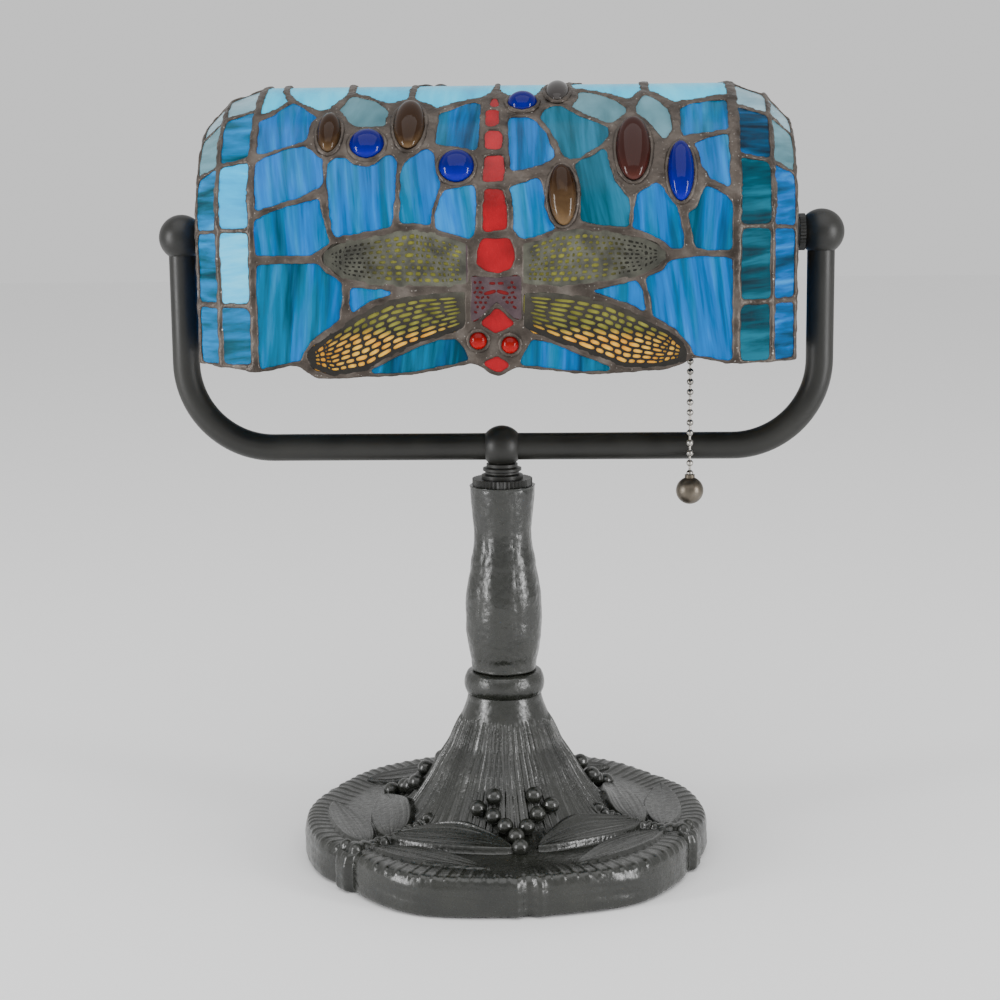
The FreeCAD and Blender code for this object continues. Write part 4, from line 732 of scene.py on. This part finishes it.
def wing_blades(x, y):
    """Wings of the three insects on the base plate, the upper pair over the lower one."""
    blades = np.zeros(x.shape)
    for centre in DRAGONFLIES:
        for side in (-1, 1):
            upper = leaf(x, y, polar(64, centre - side * 1), polar(59, centre + side * 55), 10.0,
                         side * 2.0)
            lower = leaf(x, y, polar(76, centre + side * 2), polar(81, centre + side * 47), 9.0,
                         side * 0.5)
            blades = np.maximum(blades, 1.8 * lower)
            blades = np.maximum(blades, np.where(upper > 0.02, 1.2 + 2.2 * upper, 0))
    return blades


def trunk_reeds(angle, radius, height, wander):
    """Uneven reeds that run up the trunk."""
    turn = 33 * angle + 0.8 * wander + 0.16 * np.sin(7 * angle + 0.10 * height)
    coarse = np.abs(np.sin(turn)) ** 0.55 - 0.72
    fine = np.abs(np.sin(2.17 * turn + 0.7)) ** 0.7 - 0.7
    on_trunk = smooth_step((65.0 - height) / 6.0) * smooth_step((height - 18.0) / 3.0)
    return (1.8 * coarse + 0.4 * fine) * on_trunk * smooth_step((56.0 - radius) / 6.0)


def insect_bosses(x, y):
    """Round tail and body segments, heads and eyes of the insects."""
    bosses = np.zeros(x.shape)
    for centre in DRAGONFLIES:
        spots = [(44.5 + 3.0 * step, 0.5 * (-1) ** step, 2.3, 3.5) for step in range(10)]
        spots += [(74, 0, 3.3, 2.9), (78.5, 0, 3.9, 2.9), (83.5, 0, 4.4, 2.9)]
        for side in (-1, 1):
            spots += [(85.5, side * 2.2, 2.8, 3.6), (76.0, side * 2.6, 2.3, 2.6)]
        for away, aside, size, rise in spots:
            bosses = np.maximum(bosses, dome(x, y, polar(away, centre + aside), size, rise))
    return bosses


def base_points():
    """Cast base: lobed rim, notched border, three dragonflies and a reeded trunk."""
    rows, segments = ((360, 1400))
    profile = spline_through(BASE_PROFILE, rows)
    angle = np.linspace(0, 2 * math.pi, segments, endpoint=False)[None, :]
    radius, height = profile[:, 0:1], profile[:, 1:2]
    slope = np.gradient(profile, axis=0)
    slope /= np.linalg.norm(slope, axis=1)[:, None]
    out_r, out_z = slope[:, 1:2], -slope[:, 0:1]
    above = height > 12.0
    on_wall = smooth_step((radius - 78.0) / 10.0)
    on_plate = smooth_step((89.5 - radius) / 2.5) * smooth_step((radius - 36.0) / 6.0) * above
    reach = radius + on_wall * rim_outline(angle)
    rng = np.random.default_rng(4)
    wander = sum(rng.uniform(-1, 1) * np.sin(k * angle + rng.uniform(0, 6.3))
                 for k in range(2, 15))

    x = reach * np.cos(angle)
    y = reach * np.sin(angle)
    blades = wing_blades(x, y)
    bare = 1 - smooth_step(blades / 0.6) * on_plate
    relief = border_relief(angle, radius, above, wander) * bare + blades * on_plate
    relief = relief + trunk_reeds(angle, radius, height, wander) * bare
    relief = np.maximum(relief, insect_bosses(x, y) * above)
    dents = 0.22 * np.sin(7 * angle + 0.35 * height) * np.sin(5 * angle + 1.0 + 0.22 * height)
    dents = dents + 0.10 * np.sin(31 * angle + 0.9 * height) * np.sin(23 * angle - 0.7 * height)
    relief = relief + dents * on_wall

    reach = reach + relief * out_r
    lift = height + relief * out_z
    return np.stack((reach * np.cos(angle), reach * np.sin(angle), lift), axis=-1)


def berry_points():
    """Balls of the three berry clusters."""
    balls = []
    for centre in BERRIES:
        turn = math.radians(centre)
        for away, shift, level in BERRY_SPOTS:
            spot = (away * math.cos(turn) - shift * math.sin(turn),
                    away * math.sin(turn) + shift * math.cos(turn), level)
            balls.append(ball_points(spot, BERRY_RADIUS))
    return balls


# Outlines of the collar ring and of the column: radius and height in millimetres.
RING_PROFILE = ((5.2, 73.5), (15.6, 73.5), (17.2, 74.5), (18.0, 76.9), (18.0, 79.6),
                (17.2, 82.2), (15.2, 83.8), (5.2, 84.0))
STEM_PROFILE = ((9.0, 84.2), (14.0, 84.2), (14.5, 86.0), (14.8, 89.0), (15.7, 93.0),
                (16.9, 102.0), (17.1, 111.3), (16.9, 118.5), (15.9, 125.1), (15.0, 129.7),
                (14.5, 134.3), (13.5, 138.8), (13.0, 143.4), (12.8, 148.0), (13.2, 152.5),
                (14.1, 161.6), (14.4, 167.4), (13.9, 168.5), (5.2, 168.5))


def ring_swell(angle, height):
    """Slight unevenness of the collar ring."""
    return 0.14 * np.sin(5 * angle + 0.5) * np.sin(0.3 * height) * (height > 73.6)


def stem_swell(angle, height):
    """Soft facets, hammer dents and pits of the column, with its ends left flat."""
    facets = 0.34 * np.abs(np.sin(3.0 * angle + 0.4)) - 0.2
    hammer = 0.30 * rough_field(angle, height, 15.0, 7.0)
    pits = 0.10 * rough_field(angle, height, 15.0, 2.2)
    return (facets + hammer + pits) * (height > 84.3) * (height < 168.4)


def build_base(kit):
    """Base casting, collar ring and column with their cast surfaces."""
    grids = [points * MM for points in [base_points()] + berry_points()]
    ring = lathe("trunk_collar", spline_through(RING_PROFILE, 60), 160, ring_swell)
    stem = lathe("cast_column", spline_through(STEM_PROFILE, 260), 300, stem_swell)
    for mesh, node in ((grid_mesh("cast_base", *grids), "base_casting"),
                       (ring, "base_collar"), (stem, "column")):
        add_object(mesh, kit["casting"], "stand", (node,))


# ---------------- shade metalwork
def soften_came():
    """Round the came into solder beads with a lumpy surface."""
    came = nodes["shade_came"]
    remesh = came.modifiers.new("solder_skin", "REMESH")
    remesh.mode = "VOXEL"
    remesh.voxel_size = 0.75 * MM
    remesh.use_smooth_shade = True
    smooth = came.modifiers.new("solder_round", "SMOOTH")
    smooth.factor = 0.5
    smooth.iterations = 5
    clouds = bpy.data.textures.new("solder_lumps", "CLOUDS")
    clouds.noise_scale = 5.0 * MM
    clouds.noise_depth = 2
    lumps = came.modifiers.new("solder_lumps", "DISPLACE")
    lumps.texture = clouds
    lumps.texture_coords = "LOCAL"
    lumps.strength = 1.3 * MM
    lumps.mid_level = 0.54


BEZEL_RADIUS = 1.0 * MM
BEZEL_GAP = 0.45 * MM
PANE_MARGIN = 0.6 * MM
# Material and record slot of each node of cut glass.
GLASS = {
    "panes_blue_front": ("blue", "blue_glass"), "panes_blue_back": ("blue", "blue_glass"),
    "panes_teal": ("teal", "teal_glass"), "panes_gray": ("gray", "gray_glass"),
    "panes_sky": ("sky", "sky_glass"), "end_panes_left": ("end_blue", "blue_glass"),
    "end_panes_right": ("end_teal", "teal_glass"), "cap_panes": ("cap", "blue_glass"),
    "wing_glass": ("wings", "wing_glass"), "dragonfly_segments": ("red", "red_glass"),
}


def shade_skin(x, y, z):
    """Outward direction of the shade's surface at a point on it."""
    if abs(x) > FLAT_END:
        return Vector((1, 0, 0))
    lean = 0.0
    if abs(x) >= INNER_RING:
        lean = INNER_LEAN
    if abs(x) >= OUTER_RING:
        lean = OUTER_LEAN
    around = Vector((0.0, y, max(z - PIVOT, 0.0))).normalized()
    return around * math.cos(lean) + Vector((math.copysign(math.sin(lean), x), 0, 0))


def widen(mesh, margin):
    """Push the rims of thin panes outwards, in the plane of each pane, under the came."""
    moved = []
    for vertex in mesh.vertices:
        skin = shade_skin(*vertex.co)
        aside = vertex.normal - vertex.normal.dot(skin) * skin
        step = aside.normalized() * margin if aside.length > 0.3 else Vector((0, 0, 0))
        moved.append(vertex.co + step)
    for vertex, spot in zip(mesh.vertices, moved):
        vertex.co = spot
    mesh.update()


def welded(mesh):
    """Corners and faces of a mesh with doubled corners joined."""
    places = {}
    corners = []
    renumbered = []
    for vertex in mesh.vertices:
        key = tuple(round(value / (0.002 * MM)) for value in vertex.co)
        if key not in places:
            places[key] = len(corners)
            corners.append(tuple(vertex.co))
        renumbered.append(places[key])
    faces = [[renumbered[index] for index in polygon.vertices] for polygon in mesh.polygons]
    return corners, [face for face in faces if len(set(face)) == len(face)]


def build_glass(kit):
    """Panes as unbroken pieces of glass with crisp cut edges."""
    for node, (paint, finish) in GLASS.items():
        corners, faces = welded(nodes[node].data)
        mesh = bpy.data.meshes.new("glass_" + node)
        mesh.from_pydata(corners, [], faces)
        widen(mesh, PANE_MARGIN)
        mesh.shade_smooth()
        mesh.set_sharp_from_angle(angle=math.radians(30))
        add_object(mesh, kit[paint], "shade", (node,))


def separate_solids(mesh):
    """Corner positions of each separate solid of a mesh."""
    corners, faces = welded(mesh)
    group = list(range(len(corners)))

    def head(index):
        while group[index] != index:
            index = group[index]
        return index

    for face in faces:
        for index in face[1:]:
            group[head(index)] = head(face[0])
    solids = {}
    for index, corner in enumerate(corners):
        solids.setdefault(head(index), []).append(corner)
    return [np.array(solid) for solid in solids.values()]


def bezel_rings(solid):
    """Points of the solder ring that lies on the shade round one jewel."""
    turn = np.linspace(0, 2 * math.pi, 56, endpoint=False)
    middle = 0.5 * (solid.min(axis=0) + solid.max(axis=0))
    rise = max(middle[2] - PIVOT, 0.0)
    out = np.array((0.0, middle[1], rise)) / math.hypot(middle[1], rise)
    up = np.array((0.0, -out[2], out[1])) * math.copysign(1, middle[1])
    wide = np.abs((solid - middle)[:, 0]).max() + BEZEL_GAP
    tall = np.abs((solid - middle) @ up).max() + BEZEL_GAP
    flat = middle + wide * np.cos(turn)[:, None] * (1, 0, 0)
    flat = flat + tall * np.sin(turn)[:, None] * up
    rise = np.maximum(flat[:, 2] - PIVOT, 0.0)
    way = np.stack((0 * rise, flat[:, 1], rise), axis=-1)
    way /= np.linalg.norm(way, axis=1)[:, None]
    low = np.minimum(flat[:, 2] - PIVOT, 0.0)[:, None] * (0, 0, 1)
    spine = flat[:, 0:1] * (1, 0, 0) + VAULT * way + low + (0, 0, PIVOT)
    along = np.roll(spine, -1, axis=0) - np.roll(spine, 1, axis=0)
    along /= np.linalg.norm(along, axis=1)[:, None]
    aside = np.cross(along, way)
    section = np.linspace(0, 2 * math.pi, 9)[:, None, None]
    bead = BEZEL_RADIUS * (1 + 0.12 * np.sin(5 * turn) + 0.08 * np.sin(13 * turn))[:, None]
    return spine + bead * (np.cos(section) * aside + np.sin(section) * way)


def build_bezels(kit):
    """Raised solder ring around every jewel and eye."""
    rings = []
    for node in ("jewels_cobalt", "jewels_amber", "jewels_garnet", "jewels_smoke",
                 "dragonfly_eyes"):
        rings += [bezel_rings(solid) for solid in separate_solids(nodes[node].data)]
    add_object(grid_mesh("jewel_bezels", *rings), kit["solder"], "shade")


def bevel_nodes():
    """Small worn edges on the turned and knurled fittings."""
    for node in ("column_locknut", "neck_collar", "tee_ball", "knurled_washers",
                 "pivot_spacers", "friction_washers", "left_end_ball", "right_end_ball"):
        bevel = nodes[node].modifiers.new("worn_edges", "BEVEL")
        bevel.width = 0.18 * MM
        bevel.segments = 2
        bevel.limit_method = "ANGLE"
        bevel.angle_limit = math.radians(35)


# ---------------- pierced wing plates
# Upper and lower edges of the left and right wings as (x, s) in millimetres: s is the way up
# from the pivot's height, over the vault, and negative down the skirt.
UPPER_WINGS = (
    (((-12.2, -1.9), (-25, 2.3), (-32, 3.8), (-49, 1.0), (-60, -1.0), (-68, -5.0)),
     ((-12.2, -15.8), (-20, -16.8), (-33, -16.5), (-50, -15.2), (-60, -13.4), (-68, -7.2))),
    (((13.6, -2.2), (26, 2.0), (37, 3.2), (49, 1.9), (60, -0.6), (68.6, -5.0)),
     ((13.6, -15.8), (22, -16.8), (34, -16.5), (50, -14.3), (60, -12.3), (68.6, -7.0))),
)
LOWER_WINGS = (
    (((-13, -21.9), (-30, -22.9), (-42, -25.2), (-54, -30.3), (-68, -39.2), (-75.6, -45.6)),
     ((-13, -33.4), (-24, -37.3), (-39, -43.0), (-53, -50.4), (-66, -52.6), (-75.6, -48.8))),
    (((13.6, -21.9), (33, -23.7), (46, -26.2), (58, -31.5), (71, -38.2), (77.4, -44.6)),
     ((13.6, -33.8), (26, -39.2), (41, -45.1), (53, -50.1), (66, -50.3), (77.4, -47.6))),
)
BACK_PLATE = ((-8.8, -14.4), (-4, -15.0), (1, -15.6), (6, -15.0), (10.4, -14.2), (10.6, -31.8),
              (8.6, -30.4), (5.4, -27.4), (1, -23.6), (-3.2, -27.4), (-6.6, -30.4), (-8.8, -32.4))


def between(edges, along, across):
    """Point of a wing from its upper and lower edges; both fractions run 0 to 1."""
    upper, lower = (np.asarray(edge, dtype=float) for edge in edges)
    place = along * (len(upper) - 1)
    first = min(int(place), len(upper) - 2)
    part = place - first
    top = upper[first] * (1 - part) + upper[first + 1] * part
    foot = lower[first] * (1 - part) + lower[first + 1] * part
    return foot * (1 - across) + top * across


def oval(middle, half_long, half_wide, turn):
    """Outline of a hole, between an ellipse and a rectangle."""
    corners, power = 14, 0.7
    ring = []
    for step in range(corners):
        angle = 2 * math.pi * step / corners
        u = half_long * math.copysign(abs(math.cos(angle)) ** power, math.cos(angle))
        v = half_wide * math.copysign(abs(math.sin(angle)) ** power, math.sin(angle))
        ring.append((middle[0] + u * math.cos(turn) - v * math.sin(turn),
                     middle[1] + u * math.sin(turn) + v * math.cos(turn)))
    return ring


def wing_width(edges, along):
    """Width of a wing at a fraction of its length."""
    return np.linalg.norm(between(edges, along, 1.0) - between(edges, along, 0.0))


def wing_cells(edges, rows, lengths, gap, fill):
    """Rows of rounded cells that follow a wing; rows pair up where the wing gets thin.

    lengths holds the mean cell lengths at root and tip, gap is the metal between two cells,
    and fill the least and most share of a cell's room that its hole takes.
    """
    rng = random.Random(round(1000 * abs(edges[0][1][0])))
    span = np.linalg.norm(between(edges, 1.0, 0.5) - between(edges, 0.0, 0.5))
    steps = [step / 100 for step in range(50, 97)]
    thin = next((step for step in steps if wing_width(edges, step) < 1.35 * rows), 0.96)
    holes = []
    for row in range(rows):
        along = 0.005 + 0.03 * rng.random()
        while along < 0.96:
            mean = lengths[0] * (1 - along) + lengths[1] * along
            room = mean * rng.uniform(0.7, 1.3) / span
            share = rng.uniform(*fill)
            paired = along >= thin
            room = min(room, 0.96 - along if paired else thin - along)
            tall = (2.0 if paired else 1.0) / rows
            across = (row + (1.0 if paired else 0.5)) / rows
            middle = along + 0.5 * room
            along += max(room, 0.004)
            half_long = 0.5 * share * (room - gap / span)
            half_wide = 0.5 * share * (tall - gap / wing_width(edges, middle))
            if paired and row % 2 or half_long * span < 0.3:
                continue
            ring = oval((middle, across), half_long, half_wide, 0.0)
            holes.append([tuple(between(edges, u, v)) for u, v in ring])
    return holes


def grown(outline, margin):
    """Outline moved outwards by the margin, whichever way round it runs."""
    ring = np.asarray(outline, dtype=float)
    way = np.roll(ring, -1, axis=0) - np.roll(ring, 1, axis=0)
    way /= np.linalg.norm(way, axis=1)[:, None]
    out = np.column_stack((-way[:, 1], way[:, 0]))
    if np.sum(ring[:, 0] * np.roll(ring[:, 1], -1) - ring[:, 1] * np.roll(ring[:, 0], -1)) > 0:
        out = -out
    return [tuple(spot) for spot in ring + margin * out]


def back_holes():
    """Slots and small holes of the plate over the insect's back."""
    rng = random.Random(8)
    holes = [oval((-1.6, -20.6), 2.6, 0.8, 0.25), oval((3.6, -20.6), 2.6, 0.8, -0.25),
             oval((-0.6, -16.9), 1.3, 0.6, 0.0), oval((2.8, -16.9), 1.3, 0.6, 0.0)]
    for row in range(8):
        for index in range(9):
            x = -7.6 + 2.15 * index + 0.9 * (row % 2)
            s = -16.6 - 2.0 * row
            off = abs(x - 1.0)
            over_slots = off < 4.9 and s > -22.4
            past_edge = x > 9.4 or s < -23.0 - 0.95 * (off - 1.6)
            in_notch = off < 5 and s < -22.4 and s < -20.4 - 1.02 * off
            if over_slots or past_edge or in_notch:
                continue
            holes.append(oval((x + rng.uniform(-0.15, 0.15), s + rng.uniform(-0.15, 0.15)),
                              rng.uniform(0.6, 0.95), rng.uniform(0.45, 0.62),
                              rng.uniform(-0.7, 0.7)))
    return holes


def pierced_plate(outlines, holes):
    """Flat metal sheet with holes, as a mesh in (x, s) millimetres and Z for its thickness."""
    curve = bpy.data.curves.new("pierced_plate", "CURVE")
    curve.dimensions = "2D"
    curve.fill_mode = "BOTH"
    curve.extrude = 0.10
    curve.bevel_depth = 0.10
    curve.bevel_resolution = 1
    curve.offset = -0.08
    for ring in list(outlines) + list(holes):
        spline = curve.splines.new("POLY")
        spline.points.add(len(ring) - 1)
        for point, (x, s) in zip(spline.points, ring):
            point.co = (x, s, 0, 1)
        spline.use_cyclic_u = True
    shape = bpy.data.objects.new("pierced_plate", curve)
    bpy.context.scene.collection.objects.link(shape)
    depsgraph = bpy.context.evaluated_depsgraph_get()
    mesh = bpy.data.meshes.new_from_object(shape.evaluated_get(depsgraph))
    bpy.data.objects.remove(shape)
    return mesh


def on_vault(x, s, out):
    """Point of the shade in metres from (x, s) and a distance outside its skin."""
    radius = 1000 * VAULT + out
    angle = max(s, 0.0) / (1000 * VAULT)
    y = -radius * math.cos(angle)
    z = radius * math.sin(angle) + min(s, 0.0)
    return (x * MM, y * MM, PIVOT + z * MM)


# Each pair of wings with the lengths, gap and fill of its cells.
WING_PATTERNS = ((UPPER_WINGS, (2.7, 2.3), 0.6, (0.55, 1.0)),
                 (LOWER_WINGS, (6.0, 3.4), 0.66, (0.92, 1.0)))
CELL_ROWS = 8
WING_RIM = 1.9
BACK_RIM = 0.8
PLATE_DEPTH = 0.42


def build_filigree(kit):
    """Pierced plates over the wings and back of both dragonflies."""
    holes = back_holes()
    outlines = [grown(BACK_PLATE, BACK_RIM)]
    for wings, lengths, gap, fill in WING_PATTERNS:
        for edges in wings:
            outlines.append(grown(list(edges[0]) + list(reversed(edges[1])), WING_RIM))
            holes += wing_cells(edges, CELL_ROWS, lengths, gap, fill)
    plate = pierced_plate(outlines, holes)
    flat = [tuple(vertex.co) for vertex in plate.vertices]
    faces = [tuple(polygon.vertices) for polygon in plate.polygons]
    front = [on_vault(x, s, level - PLATE_DEPTH) for x, s, level in flat]
    back = [(-x, -y, z) for x, y, z in front]
    count = len(flat)
    mesh = bpy.data.meshes.new("wing_plates")
    mesh.from_pydata(front + back, [],
                     faces + [tuple(index + count for index in face) for face in faces])
    mesh.update()
    bpy.data.meshes.remove(plate)
    add_object(mesh, kit["etched"], "shade", ("wing_filigree",))


add_camera()
add_surroundings()
kit = make_materials()
paint_frame(kit)
build_base(kit)
soften_came()
build_glass(kit)
build_bezels(kit)
bevel_nodes()
build_filigree(kit)
